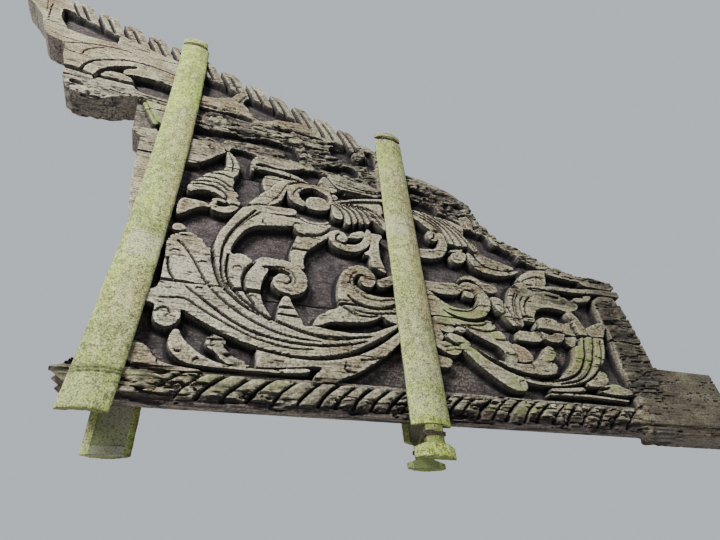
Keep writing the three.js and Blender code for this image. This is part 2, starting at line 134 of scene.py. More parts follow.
def boardOutline(side):
    # the closed outline round all planks together; the two faces differ at the foot
    length, height, root = board["rootLength"], board["rootHeight"], board["rootStart"]
    corners = np.array([(58, 6), (300, 0), (length, 0), (length, height), (root, height)]
                       + rottedCrest[::-1], float)
    crest = np.vstack([tipCrest, scallops(), crestNotches[-1:], [(872, 1216)]])[::-1]
    rest = np.array(tipAndLobes[::-1] + leftEdge[::-1], float)
    line = softened(divided(np.vstack([corners, crest, rest]), 9), True, 1)
    # rot has eaten into the outline past the middle culm, and less so at the lobes and the foot
    along = np.roll(line, -1, axis=0) - np.roll(line, 1, axis=0)
    inward = np.stack([-along[:, 1], along[:, 0]], axis=1)
    inward = inward / np.hypot(along[:, 0], along[:, 1])[:, None]
    u, v = line.T
    eaten = 0.12 + 0.9 * ease(860, 960, u) * ease(600, 700, v)
    eaten = eaten + 0.1 * ease(60, -40, u) * ease(1300, 1150, v)
    eaten = eaten * ease(4, 20, v) * ease(root - 1, root - 25, u)
    eaten = eaten + 0.5 * ease(60, 10, u) * ease(300, 60, v)
    bite = (0.6 + 0.5 * drift(u, v, 34, 34, 3) + 0.35 * drift(u, v, 13, 13, 4)) * board["ragged"]
    line = line + inward * (np.clip(bite, 0, 20) * eaten)[:, None]
    if side > 0:
        # the far lower edge is worn away up to where the rope and the root meet
        worn = board["farWear"] * ease(60, 130, u) * ease(1800, 1760, u)
        line[:, 1] = np.where(v < 60, np.maximum(line[:, 1], worn), line[:, 1])
    return line


# Leaves: drop below the face, then the outline
leaves = [
    # great fan with its lower left spiral, stem, and the crowns of its leaves
    (0, [(150,296), (150,270), (176,272), (194,264), (191,245), (193,225), (203,208), (222,199),
        (240,203), (254,216), (260,236), (258,252), (256,262), (256,262), (275,251), (300,237),
        (350,210), (400,188), (450,171), (500,160), (560,152), (600,149), (640,151), (680,158),
        (720,172), (760,191), (800,217), (840,240), (870,264), (905,300), (905,312), (885,292),
        (850,277), (815,258), (790,250), (760,246), (700,244), (660,247), (630,254), (605,250),
        (590,250), (588,268), (575,290), (565,308), (557,328), (551,345), (551,345), (540,350),
        (530,342), (522,322), (518,292), (515,262), (510,256), (498,270), (484,289), (470,318),
        (463,350), (465,385), (472,410), (482,430), (484,441), (484,441), (465,451), (444,450),
        (440,456), (430,471), (412,483), (390,486), (374,478), (366,490), (366,490), (368,508),
        (374,530), (385,555), (402,588), (425,611), (450,624), (500,632), (550,643), (560,648),
        (566,632), (580,619), (605,614), (640,623), (665,639), (684,660), (692,678), (692,678),
        (680,682), (668,675), (640,667), (605,669), (590,677), (577,684), (560,684), (520,684),
        (480,681), (458,690), (440,697), (420,703), (400,697), (384,684), (371,655), (356,625),
        (345,600), (332,575), (323,545), (319,515), (315,494), (315,494), (309,491), (300,489),
        (292,498), (288,510), (279,522), (266,532), (250,541), (232,540), (215,534), (200,526),
        (188,512), (184,480), (190,440), (190,400), (192,350), (186,320), (170,312)]),
    # low leaves on the foot rail
    (3, [(255,201), (244,186), (240,165), (245,140), (262,117), (290,102), (330,97), (400,96),
        (470,95), (540,97), (600,104), (614,112), (600,115), (560,111), (520,104), (440,101),
        (400,103), (360,111), (330,125), (300,146), (276,170), (262,196)]),
    (7, [(150,160), (196,142), (205,128), (216,112), (240,98), (270,92), (300,90), (330,90),
        (330,82), (240,82), (150,86)]),
    (5, [(332,176), (338,190), (352,197), (370,191), (381,179), (386,167), (374,164), (385,152),
        (398,138), (415,128), (440,120), (452,112), (440,104), (415,104), (392,110), (374,122),
        (362,140), (346,148), (334,158)]),
    (3, [(465,159), (465,159), (500,152), (530,147), (560,143), (600,141), (650,144), (690,152),
        (712,159), (745,169), (775,184), (815,208), (845,230), (870,252), (905,282), (905,250),
        (880,222), (850,192), (830,177), (800,153), (770,132), (745,116), (720,106), (692,90),
        (680,83), (622,82), (624,100), (645,118), (640,127), (600,122), (560,116), (520,112),
        (467,107), (467,107)]),
    # leaf at the right of the large scroll, and the bands under the next spiral
    (2, [(618,256), (628,275), (637,298), (655,303), (668,318), (690,325), (704,334), (708,352),
        (702,372), (702,400), (706,432), (716,466), (728,488), (745,478), (742,440), (745,410),
        (756,385), (740,382), (752,366), (775,353), (800,346), (835,346), (865,352), (905,368),
        (905,300), (880,302), (858,306), (846,325), (830,313), (810,301), (780,291), (750,287),
        (720,284), (690,281), (668,277), (655,267), (640,261)]),
    # fluted stem, in two steps
    (2, [(572,611), (600,607), (635,612), (665,629), (690,656), (695,640), (676,615), (650,593),
        (630,571), (612,552), (612,552), (557,552), (557,552), (560,566), (569,584)]),
    (6, [(552,545), (606,545), (606,545), (596,520), (593,495), (600,465), (560,470), (555,490),
        (551,515)]),
    # bar, its barb and the small leaf
    (3, [(836,676), (836,676), (872,680), (884,668), (872,656), (865,640), (862,600), (862,570),
        (868,540), (876,518), (880,504), (864,504), (846,516), (826,524), (828,545), (828,572),
        (806,572), (806,578), (818,588), (829,602), (835,625), (838,652)]),
    (5, [(838,464), (850,471), (872,482), (905,502), (905,470), (885,449), (862,440), (845,440)]),
    (3, [(751,640), (751,640), (760,655), (776,669), (812,683), (816,664), (808,652), (790,642)]),
    # plume with its feathers, the small leaf at its left and the two upright leaves above
    (1, [(207,742), (212,760), (222,775), (238,790), (250,811), (266,830), (290,846), (312,857),
        (362,861), (362,861), (358,846), (345,828), (353,806), (349,785), (352,766), (370,752),
        (371,736), (362,729), (378,716), (380,698), (360,690), (338,700), (336,722), (322,718),
        (302,738), (270,745), (240,738), (215,722)]),
    (4, [(190,690), (230,690), (262,688), (286,680), (286,668), (262,665), (244,655), (226,639),
        (208,620), (190,610)]),
    (6, [(190,572), (214,577), (228,566), (228,552), (214,547), (190,548)]),
    (2, [(312,863), (312,863), (362,863), (362,863), (365,890), (358,915), (346,940), (328,962),
        (312,966), (318,930), (320,895)]),
    (4, [(170,868), (215,870), (240,889), (265,914), (290,945), (312,966), (302,976), (305,990),
        (290,1004), (262,1008), (230,1000), (170,1002)]),
    # smooth leaf that runs up over the ring
    (0, [(404,712), (404,712), (428,748), (450,780), (474,804), (484,826), (495,850), (520,866),
        (560,880), (600,886), (632,869), (632,869), (600,873), (571,866), (549,851), (536,830),
        (529,800), (520,770), (508,748), (496,736), (478,729), (440,722)]),
    (16, [(446,892), (500,902), (560,897), (590,887), (560,874), (520,867), (495,856), (480,828),
        (455,805)]),
    (6, [(399,700), (430,722), (500,728), (560,735), (575,720), (560,700), (500,695), (440,692)]),
    (2, [(404,890), (402,935), (409,958), (425,980), (450,985), (500,975), (550,979), (590,976),
        (604,970), (585,955), (560,943), (525,933), (485,934), (440,945), (415,930), (414,885)]),
    # leaves right of the ring
    (1, [(652,862), (650,885), (657,910), (668,934), (681,936), (692,922), (706,902), (721,876),
        (723,864), (706,852), (694,858), (694,838), (690,828), (672,840), (660,850)]),
    (5, [(702,850), (720,846), (726,832), (716,820), (703,822)]),
    (2, [(603,768), (605,790), (615,805), (635,812), (660,815), (675,808), (690,790), (695,775),
        (685,762), (670,752), (645,747), (620,748), (607,757)]),
    # worn stile beside the left culm
    (6, [(0,85), (110,95), (125,250), (120,450), (105,700), (90,1000), (60,1008), (-20,1006),
        (0,950), (30,780), (60,560), (85,400), (100,250), (105,105)]),
    (3, [(1022,328), (1022,350), (1060,350), (1095,345), (1110,330), (1090,322), (1060,325),
        (1040,322)]),
    (4, [(688,955), (712,966), (745,969), (770,955), (800,944), (850,930), (905,922), (905,890),
        (850,879), (800,871), (750,879), (722,896), (708,912), (694,932)]),
    (13, [(740,812), (800,838), (850,850), (905,864), (905,790), (880,800), (840,815), (790,818)]),
    # fan of feathers
    (1, [(697,795), (720,803), (760,809), (800,816), (840,813), (868,803), (882,783), (905,765),
        (905,700), (885,711), (868,735), (850,751), (842,734), (832,719), (822,734), (812,715),
        (803,721), (795,735), (785,711), (777,711), (772,728), (765,703), (748,701), (742,730),
        (732,721), (706,723), (699,750)]),
    # C scroll right of the middle culm: companions and blocks
    (2, [(1240,528), (1262,525), (1300,521), (1309,505), (1303,488), (1270,484), (1262,480),
        (1252,505)]),
    (2, [(1266,467), (1300,467), (1314,456), (1330,440), (1328,415), (1312,404), (1300,398),
        (1285,405), (1272,430), (1264,450)]),
    (9, [(1000,505), (1060,498), (1120,510), (1150,515), (1162,490), (1150,462), (1110,455),
        (1060,454), (1000,470)]),
    (1, [(1000,450), (1022,428), (1040,402), (1070,370), (1100,351), (1140,341), (1190,343),
        (1225,360), (1240,358), (1253,345), (1250,330), (1235,324), (1215,318), (1180,314),
        (1150,320), (1120,326), (1080,330), (1000,352)]),
    (3, [(1132,322), (1160,316), (1200,312), (1230,318), (1260,325), (1275,316), (1284,305),
        (1275,294), (1290,284), (1300,270), (1306,240), (1300,204), (1262,204), (1266,222),
        (1262,236), (1252,250), (1244,262), (1220,271), (1200,281), (1175,292), (1150,304)]),
    (13, [(1298,288), (1340,282), (1368,262), (1378,235), (1360,222), (1300,215)]),
    (3, [(1098,318), (1118,321), (1132,312), (1128,301), (1108,298), (1096,304)]),
    (9, [(1000,350), (1060,340), (1096,322), (1094,300), (1060,296), (1000,318)]),
    (3, [(1050,288), (1080,291), (1110,284), (1130,268), (1141,255), (1130,249), (1108,252),
        (1088,254), (1068,265)]),
    (3, [(1000,264), (1030,262), (1055,255), (1078,245), (1101,238), (1098,224), (1080,212),
        (1055,211), (1030,224), (1000,244)]),
    (5, [(1000,206), (1035,201), (1057,196), (1058,184), (1050,170), (1035,165), (1000,166)]),
    (6, [(1000,312), (1036,304), (1047,285), (1045,268), (1032,258), (1000,268)]),
    # long band with its curl, and the ruffled leaf above it
    (1, [(1098,254), (1124,249), (1150,236), (1180,208), (1220,184), (1260,166), (1290,154),
        (1340,150), (1300,146), (1306,130), (1303,115), (1290,106), (1260,106), (1240,112),
        (1210,132), (1180,155), (1150,180), (1120,214), (1100,238)]),
    (1, [(1148,247), (1180,225), (1210,209), (1250,203), (1300,203), (1345,204), (1375,224),
        (1400,245), (1420,265), (1430,279), (1445,286), (1458,280), (1466,265), (1462,250),
        (1450,238), (1440,230), (1423,224), (1423,224), (1421,216), (1435,223), (1448,215),
        (1451,200), (1442,185), (1425,177), (1390,171), (1350,170), (1300,176), (1260,188),
        (1220,206), (1180,231)]),
    # great circle: the bands that sweep up at its right
    (1, [(1290,158), (1340,152), (1400,150), (1450,166), (1480,192), (1508,215), (1532,240),
        (1550,270), (1556,298), (1595,305), (1598,345), (1704,345), (1704,345), (1690,300),
        (1670,260), (1640,225), (1590,188), (1550,164), (1500,149), (1450,138), (1400,134),
        (1330,136), (1300,142)]),
    (3, [(1545,150), (1570,180), (1600,201), (1630,211), (1648,201), (1651,180), (1635,160),
        (1600,149), (1570,146)]),
    (6, [(1590,140), (1640,160), (1680,166), (1722,150), (1742,135), (1700,126), (1620,126)]),
    # its left arm, its worn top and the arm at its right
    (2, [(1298,404), (1312,372), (1330,353), (1350,350), (1372,349), (1374,380), (1394,384),
        (1424,378), (1428,400), (1438,420), (1456,440), (1480,452), (1520,458), (1560,457),
        (1578,450), (1610,454), (1640,464), (1656,484), (1650,498), (1620,505), (1600,520),
        (1560,530), (1500,535), (1460,546), (1430,560), (1400,552), (1370,528), (1352,500),
        (1342,470), (1332,440), (1326,405), (1312,400)]),
    (2, [(1584,446), (1600,455), (1616,444), (1630,416), (1641,385), (1643,351), (1600,351),
        (1598,380), (1590,410), (1580,430)]),
    (15, [(1520,405), (1560,400), (1592,408), (1600,380), (1600,340), (1570,300), (1540,310),
        (1530,350)]),
    (4, [(1645,386), (1670,396), (1700,411), (1730,421), (1748,424), (1750,405), (1736,390),
        (1721,365), (1709,350), (1645,350)]),
    (8, [(1328,300), (1334,325), (1350,342), (1400,345), (1440,338), (1440,310), (1404,301),
        (1370,302)]),
    # leaves and thin bands over the circle
    (2, [(1412,569), (1440,600), (1480,622), (1520,636), (1562,639), (1556,620), (1551,600),
        (1546,575), (1530,561), (1480,560), (1440,556), (1425,562)]),
    (4, [(1648,522), (1680,531), (1705,541), (1746,551), (1740,535), (1722,520), (1690,511),
        (1650,506)]),
    (6, [(1450,620), (1500,634), (1560,645), (1600,660), (1700,655), (1895,640), (1895,600),
        (1760,600), (1730,604), (1720,620), (1690,622), (1640,622), (1590,628), (1555,638)]),
    # stile at the wall
    (7, [(1746,524), (1741,460), (1738,430), (1752,400), (1752,345), (1738,300), (1736,200),
        (1744,150), (1760,128), (1895,120), (1895,560), (1800,562), (1770,545)]),
    # leaf block, long leaf and its inner leaf
    (2, [(1145,635), (1160,650), (1180,662), (1205,669), (1216,660), (1213,640), (1205,621),
        (1185,608), (1160,602), (1149,615)]),
    (6, [(1150,668), (1180,676), (1212,684), (1212,674), (1180,666), (1155,660)]),
    (3, [(1255,655), (1262,640), (1280,622), (1302,612), (1340,608), (1380,610), (1420,622),
        (1404,632), (1380,640), (1350,652), (1320,658), (1290,661)]),
    (16, [(1266,705), (1300,690), (1350,672), (1400,655), (1440,640), (1400,636), (1320,655),
        (1262,668)]),
    # worn fan over it
    (2, [(1000,850), (1050,847), (1100,840), (1150,836), (1200,821), (1236,806), (1241,790),
        (1226,762), (1246,740), (1266,710), (1277,685), (1262,680), (1246,690), (1234,703),
        (1222,699), (1205,699), (1190,694), (1176,700), (1160,699), (1149,706), (1142,742),
        (1126,758), (1110,760), (1095,753), (1078,762), (1060,776), (1044,796), (1000,812)]),
    (4, [(1072,746), (1086,753), (1106,749), (1116,730), (1113,712), (1100,700), (1080,701),
        (1069,720)]),
]

# Bands: drop below the face, then a line with half widths
bands = [
    (0, [(446,455,10), (464,469,16), (495,474,14), (535,469,19), (570,450,21), (588,418,20),
        (582,385,20), (556,366,10)]),
    (0, [(534,398,35), (546,396,36)]),
    (1, [(300,694,7), (292,680,9), (302,666,11), (325,661,12), (350,670,13), (366,690,12)]),
    (2, [(296,702,6), (312,709,6), (328,704,6)]),
    (0, [(640,868,7), (610,866,12), (582,856,17), (560,835,21), (556,805,20), (566,780,20),
        (592,764,12)]),
    (0, [(640,866,9), (665,856,12), (690,840,10), (697,815,6), (694,795,7)]),
    (1, [(905,386,15), (880,381,16), (840,373,20), (800,375,24), (768,389,24), (742,413,24),
        (734,445,24), (746,475,22), (770,494,20), (797,494,22), (816,476,20), (806,456,26)]),
    (1, [(829,684,8), (826,652,13), (812,618,14), (785,594,14), (750,586,14), (716,594,16),
        (697,616,16), (702,640,17), (722,645,18), (731,632,19)]),
    (2, [(705,803,3), (745,822,4), (800,842,5), (850,855,6), (905,868,6)]),
    (3, [(408,912,6), (440,917,8), (480,917,9), (520,914,9), (560,903,9), (598,888,8),
        (630,871,4)]),
    (1, [(1000,470,9), (1036,424,12), (1078,389,16), (1130,374,17), (1182,380,20), (1220,403,24),
        (1239,440,25), (1229,478,22), (1200,502,17), (1172,500,14), (1154,484,10)]),
    (3, [(1168,532,5), (1195,543,8), (1222,540,9), (1243,522,9), (1256,500,7)]),
    (4, [(1176,464,14), (1190,462,12)]),
    (2, [(1000,625,20), (1060,626,22), (1098,638,21), (1121,664,17), (1130,695,17), (1131,725,15),
        (1128,745,12)]),
    (2, [(1232,662,9), (1236,632,14), (1252,606,15), (1290,592,15), (1340,588,12), (1390,599,10),
        (1428,612,5)]),
    (4, [(1460,546,5), (1520,554,7), (1600,561,8), (1700,565,9), (1760,577,10), (1895,580,14)]),
    (0, [(1470,355,50), (1492,355,50)]),
    (4, [(1400,122,4), (1450,125,5), (1500,130,6), (1535,136,5)]),
    (6, [(1390,108,2.5), (1480,112,3), (1580,112,3), (1700,106,2.5)]),
    (3, [(588,692,4), (610,682,4), (640,678,4), (668,684,4), (680,694,4)]),
]

# Grooves: depth, then a line with half widths
grooves = [
    # eyes of the spirals
    (8, [(197,244,3), (204,256,3), (219,260,3), (231,251,3), (231,238,2), (221,231,2)]),
    (12, [(486,424,4), (496,434,4), (520,437,4), (544,431,4), (556,418,4), (552,402,4),
        (540,393,2)]),
    (7, [(468,446,3), (500,455,3), (530,457,3), (554,446,3), (567,428,3), (570,407,2.5),
        (560,392,2)]),
    (10, [(770,404,4), (760,422,4), (757,443,4), (764,463,4), (780,476,4), (797,475,3),
        (806,466,2)]),
    (7, [(905,394,2.5), (860,383,3), (830,378,3), (798,382,3), (770,397,3), (750,420,3),
        (745,446,3), (753,472,3), (772,486,3)]),
    (13, [(735,382,4), (750,368,6), (772,354,7), (800,347,7), (832,347,7), (864,354,7),
        (905,374,8)]),
    (14, [(720,646,3), (709,636,4), (706,622,5), (716,609,6), (738,602,6)]),
    (12, [(614,617,2), (600,616,6), (640,619,7), (668,636,6), (690,664,5)]),
    # fan and stem
    (18, [(905,286,4.5), (885,274,5.7), (860,253,6.8), (820,226,6.8), (780,202,6.8), (740,178,6.8),
        (700,163,6.8), (650,152,5.7), (600,147,4.5), (560,147,4.5), (500,158,3.4)]),
    (12, [(785,222,2.3), (750,210,3.9), (720,203,4.5), (680,195,5.1), (620,188,5.1), (560,189,5.1),
        (500,198,4.5), (450,212,4.5), (400,234,4.5), (350,268,4.5), (300,306,3.4), (262,335,3.4)]),
    (9, [(620,175,2.3), (560,171,3.4), (500,180,3.4), (450,196,3.4), (400,216,3.4), (350,243,3.4),
        (300,272,3.4), (262,298,3.4), (235,293,3.4), (200,289,2.3)]),
    (10, [(640,203,2.3), (580,205,3.9), (520,216,4.5), (470,236,4.5), (420,262,4.5), (380,290,4.5),
        (340,325,4.5), (310,360,3.9), (285,405,3.9), (262,445,3.9), (238,480,3.4), (215,502,3.4)]),
    (13, [(800,240,2.3), (760,231,5.1), (720,224,5.7), (680,219,6.8), (630,221,6.8), (580,232,6.8),
        (530,250,5.7), (480,268,4.5), (440,296,4.5), (400,330,4.5), (368,365,4.5)]),
    (16, [(470,268,2.3), (420,292,4.5), (385,325,5.7), (352,356,6.8), (336,392,6.8), (325,432,6.8),
        (317,475,6.8), (313,498,5.7)]),
    (13, [(368,352,3.4), (352,385,4.5), (345,430,4.5), (342,480,4.5), (346,520,5.1), (357,560,5.1),
        (376,600,5.1), (400,640,5.1), (432,686,4.5)]),
    (10, [(345,500,1.2), (353,530,3.4), (366,566,3.4), (388,606,3.4), (412,642,3.4),
        (448,682,3.4)]),
    (16, [(400,335,3.4), (372,370,4.5), (363,405,5.7), (360,440,5.7), (362,475,4.5)]),
    (18, [(450,300,2.3), (430,330,5.7), (415,362,6.8), (412,395,8), (418,425,8), (432,447,6.8),
        (442,462,4.5)]),
    (12, [(232,346,2.3), (215,368,3.4), (203,396,4.5), (198,430,4.5)]),
    (8, [(465,660,1.2), (457,650,2.9), (459,636,2.9), (471,628,1.2)]),
    (9, [(560,650,2.3), (567,661,3.4), (577,662,3.4), (586,655,2.3)]),
    # steps of the upright leaf and the rail
    (14, [(519,306,4), (540,307,6), (560,307,4)]),
    (12, [(520,281,4), (545,281,5), (585,279,3)]),
    (10, [(716,152,2), (713,138,3), (710,122,3), (730,119,3), (752,116,2)]),
    (8, [(760,160,3), (790,162,4), (830,176,3)]),
    (9, [(712,342,5), (724,334,5), (745,318,4), (772,311,4), (800,312,4), (826,318,3)]),
    (9, [(756,331,3), (780,326,5), (812,325,4), (850,332,5), (905,340,5)]),
    # plume
    (13, [(214,757,2), (250,768,4.5), (288,768,5), (314,755,5), (330,738,4), (336,722,3)]),
    (12, [(226,773,2), (258,786,4), (296,790,4.5), (320,776,4), (338,756,3)]),
    (12, [(244,801,2), (278,810,4), (312,802,4.5), (340,780,3)]),
    (11, [(274,830,2), (308,838,4), (344,826,4)]),
    (16, [(346,693,3), (360,694,5), (380,692,5)]),
    (8, [(341,862,3), (342,900,3), (335,930,3), (322,956,2)]),
    (7, [(470,728,2), (498,764,3), (514,798,3), (530,840,3), (545,862,2)]),
    (8, [(558,800,2.5), (562,820,3), (575,838,3), (592,848,2)]),
    (12, [(542,852,5), (560,866,5), (590,876,4), (628,876,2)]),
    # feathers
    (15, [(702,792,2), (728,772,4), (742,748,5), (743,712,5)]),
    (15, [(714,795,2), (748,778,4), (768,752,5), (774,706,5)]),
    (15, [(728,799,2), (765,787,4), (788,762,5), (800,714,5)]),
    (15, [(742,803,2), (786,792,4), (812,765,5), (822,718,5)]),
    (15, [(756,806,2), (805,797,4), (835,770,5), (847,732,5)]),
    (15, [(772,809,2), (822,802,4), (858,775,5), (885,725,5)]),
    (13, [(800,811,2), (845,803,3.5), (880,775,4.5), (905,745,4)]),
    (9, [(722,908,2), (780,892,4), (850,894,4), (905,906,4)]),
    (9, [(740,930,2), (800,908,4), (850,906,4), (905,915,4)]),
    # right of the middle culm
    (8, [(1090,386,2), (1130,382,3), (1170,388,3), (1200,410,3.5), (1216,440,3.5), (1214,470,3),
        (1200,486,3)]),
    (9, [(1166,524,2), (1195,531,3), (1222,524,3), (1242,504,3), (1258,476,3)]),
    (16, [(1262,476,5), (1295,475,6), (1330,474,5)]),
    (7, [(1100,322,3), (1150,330,3.5), (1196,332,3.5), (1218,345,3)]),
    (8, [(1140,322,2), (1180,314,3.5), (1220,313,3.5), (1260,326,2)]),
    (10, [(1240,286,3), (1262,288,4), (1282,288,3)]),
    (10, [(1150,240,2), (1176,220,4), (1210,196,5), (1250,178,6), (1300,166,6.5), (1350,161,7),
        (1400,163,7), (1436,172,7), (1466,190,7), (1490,208,8)]),
    (7, [(1281,121,2), (1277,131,2.5), (1284,140,2.5), (1297,141,2)]),
    (8, [(1350,186,1), (1356,192,3), (1350,202,3), (1345,206,2)]),
    (13, [(1300,152,2), (1370,146,4), (1440,154,5), (1500,172,6), (1540,197,6), (1570,232,6),
        (1592,268,6), (1604,305,6), (1622,345,6)]),
    (11, [(1440,143,3), (1520,160,4.5), (1562,186,5), (1604,230,5.5), (1634,285,5.5),
        (1656,340,5)]),
    (11, [(1500,147,2), (1570,168,4), (1625,210,5), (1662,262,5), (1684,330,5)]),
    (6, [(1520,170,1.5), (1560,196,2.5), (1590,228,2)]),
    (14, [(1530,140,4), (1545,139,7), (1600,139,7), (1640,148,4)]),
    (14, [(1326,450,4), (1334,415,6), (1340,380,6), (1350,356,4)]),
    (10, [(1366,352,4), (1362,390,4), (1362,430,4), (1372,470,4), (1392,500,3)]),
    (8, [(1385,392,2), (1380,425,3), (1388,462,3), (1410,490,3)]),
    (12, [(1380,398,5), (1400,402,4), (1425,398,3)]),
    (14, [(1445,535,2), (1480,542,5), (1540,544,7), (1600,542,10), (1660,538,10), (1702,534,4)]),
    (7, [(1420,556,2), (1460,582,3), (1500,598,3), (1548,601,3)]),
    (18, [(1438,346,3), (1452,340,5), (1470,337,6), (1484,341,5), (1497,351,3)]),
    (14, [(1436,318,3), (1428,345,5), (1430,375,5), (1446,402,5), (1470,412,4)]),
    (14, [(1500,300,4), (1524,312,6), (1540,338,6), (1540,368,6), (1528,396,5), (1505,412,3)]),
    (12, [(1350,395,3), (1352,430,4), (1362,468,4), (1378,498,3)]),
    (12, [(1398,412,3), (1400,440,4), (1416,470,4), (1440,492,3)]),
    (10, [(1308,396,2), (1314,430,3), (1322,466,3)]),
    (12, [(1252,648,3), (1270,622,5), (1300,604,5), (1350,601,5), (1400,609,4), (1432,620,2)]),
    (12, [(1010,838,2), (1060,812,3.5), (1104,782,4.5), (1128,756,4)]),
    (12, [(1030,842,2), (1085,814,3.5), (1130,776,4.5), (1146,736,4.5), (1150,704,4)]),
    (12, [(1060,842,2), (1118,808,3.5), (1160,764,4.5), (1174,724,4.5), (1180,700,4)]),
    (12, [(1090,842,2), (1150,802,3.5), (1190,758,4.5), (1206,722,4.5), (1212,700,4)]),
    (12, [(1120,838,2), (1178,796,3.5), (1216,752,4.5), (1236,716,4.5), (1240,700,4)]),
    (12, [(1150,834,2), (1204,790,3.5), (1240,744,4.5), (1258,706,4.5), (1264,688,4)]),
    (12, [(1084,708,3), (1098,718,4), (1100,738,3)]),
    (12, [(1104,757,3), (1120,754,7), (1134,750,4)]),
    # lobes of the crest plank
    (14, [(-240,1258,6), (-238,1300,6.5), (-222,1334,6.5), (-192,1358,6.5), (-165,1373,7),
        (-130,1391,6), (-80,1404,4), (-30,1401,4), (70,1376,2)]),
    (9, [(-344,1410,2), (-300,1432,4), (-250,1455,4), (-150,1469,4), (-105,1462,2)]),
    (9, [(-264,1362,2), (-260,1395,4), (-238,1424,4), (-205,1446,3)]),
    (8, [(-330,1380,2), (-300,1367,4), (-262,1361,3.5), (-240,1364,2)]),
    (5, [(-395,1472,1), (-360,1458,2.5), (-320,1448,3), (-280,1450,2)]),
    (8, [(-448,1680,2), (-444,1640,3), (-436,1600,3), (-431,1566,2)]),
    (6, [(-470,1700,2), (-458,1650,3), (-450,1610,2)]),
    (32, [(-300,1262,10), (-275,1260,15), (-242,1257,14), (-205,1243,7), (-160,1245,11),
        (-110,1246,11), (-60,1245,11)]),
    (9, [(-110,1300,2), (-92,1298,3), (-70,1289,3)]),
    (9, [(-40,1193,3), (20,1184,4), (80,1176,3)]),
    (7, [(-20,1170,3), (30,1163,3), (80,1158,2)]),
    (5, [(-140,1520,1.5), (-120,1545,2), (-112,1570,1.5)]),
    (5, [(-110,1494,2), (-60,1500,2.5), (-20,1494,2)]),
]

# Nicks: short arcs round a centre, with a radius and the first and last angle
nicks = [
    (215, 448, 17, 35, 150), (296, 418, 17, 40, 165), (395, 420, 16, 20, 160),
    (296, 328, 11, 40, 160), (393, 276, 13, 70, 180), (443, 322, 13, 20, 140),
    (233, 104, 9, 60, 210), (318, 110, 8, 60, 200), (268, 140, 9, 200, 340),
    (240, 992, 14, 270, 360), (262, 978, 12, 190, 330), (666, 880, 12, 90, 200),
    (360, 170, 13, 120, 210), (1040, 300, 26, 290, 350), (1448, 212, 14, 90, 190),
    (1036, 272, 15, 270, 350),
]

# Pockets: depth, run of the lower slope, then the outline
pockets = [
    (41, 52, [(-408,1672), (-402,1640), (-397,1600), (-386,1574), (-365,1540), (-345,1512),
        (-300,1500), (-220,1494), (-168,1502), (-168,1502), (-165,1530), (-172,1556), (-152,1582),
        (-185,1604), (-240,1622), (-262,1640), (-300,1650), (-340,1644), (-372,1664)]),
    (34, 14, [(-52,1537), (-30,1543), (0,1546), (22,1530), (18,1492), (18,1492), (-8,1510),
        (-30,1522)]),
    (43, 6, [(-187,1212), (-195,1240), (-188,1285), (-166,1318), (-132,1343), (-95,1362),
        (-66,1374), (-64,1352), (-98,1336), (-106,1318), (-100,1300), (-135,1298), (-156,1290),
        (-170,1272), (-172,1240)]),
    (41, 60, [(-104,1300), (-50,1310), (0,1312), (50,1302), (160,1280), (160,1190), (30,1188),
        (-25,1196), (-46,1214), (-58,1240), (-66,1264), (-80,1284)]),
    (13, 22, [(-258,1192), (-225,1190), (-200,1172), (-225,1154), (-254,1162)]),
    (16, 8, [(-300,1262), (-262,1268), (-236,1262), (-236,1250), (-290,1246)]),
    # under the crest rope
    (43, 50, [(130,1500), (205,1452), (240,1436), (272,1412), (302,1402), (332,1392), (336,1372),
        (322,1352), (304,1332), (270,1318), (238,1298), (200,1288), (130,1288)]),
    (43, 34, [(346,1300), (350,1344), (370,1362), (410,1360), (445,1340), (482,1322), (535,1306),
        (568,1284), (572,1262), (545,1252), (500,1246), (465,1234), (430,1214), (400,1222),
        (378,1250), (366,1280)]),
    (32, 12, [(130,1226), (240,1222), (262,1220), (310,1232), (360,1222), (398,1204), (380,1196),
        (300,1204), (130,1200)]),
    (34, 10, [(465,1201), (520,1200), (600,1200), (656,1198), (700,1184), (640,1182), (560,1186),
        (470,1190)]),
    (42, 34, [(150,1104), (260,1096), (340,1102), (420,1112), (500,1107), (560,1100), (580,1060),
        (590,1004), (560,1000), (530,1030), (510,1050), (480,1046), (400,1050), (330,1046),
        (300,1034), (290,1014), (250,1030), (150,1050)]),
    (40, 14, [(318,1000), (350,1012), (400,1002), (432,986), (412,975), (402,950), (402,890),
        (384,880), (362,900), (350,935), (330,962)]),
    (43, 26, [(655,1002), (690,1030), (730,1045), (790,1050), (820,1030), (830,1000), (810,975),
        (760,985), (720,980), (680,985)]),
    (43, 18, [(704,1150), (740,1168), (800,1176), (860,1180), (908,1172), (908,1060), (870,1068),
        (820,1064), (780,1070), (740,1078), (706,1110)]),
    (36, 14, [(690,1178), (740,1192), (800,1190), (880,1176), (905,1160), (870,1150), (800,1160),
        (740,1158)]),
    (42, 20, [(1000,1010), (1060,1002), (1110,996), (1140,985), (1130,960), (1080,952),
        (1000,956)]),
    (45, 22, [(1000,944), (1040,938), (1100,924), (1140,900), (1146,868), (1180,868), (1200,852),
        (1240,840), (1240,816), (1180,836), (1100,846), (1000,856)]),
    (36, 10, [(1150,960), (1200,950), (1250,955), (1290,940), (1260,920), (1200,930), (1160,940)]),
    (45, 16, [(1240,812), (1262,806), (1300,800), (1345,790), (1356,752), (1400,738), (1450,716),
        (1486,682), (1470,652), (1440,640), (1400,648), (1350,662), (1300,680), (1276,698),
        (1256,736), (1234,766)]),
    (24, 10, [(1180,930), (1196,925), (1202,880), (1196,862), (1188,866), (1190,890)]),
    (24, 10, [(1290,900), (1304,880), (1306,820), (1294,806), (1288,850)]),
    (24, 10, [(1392,800), (1404,780), (1402,740), (1394,742)]),
]

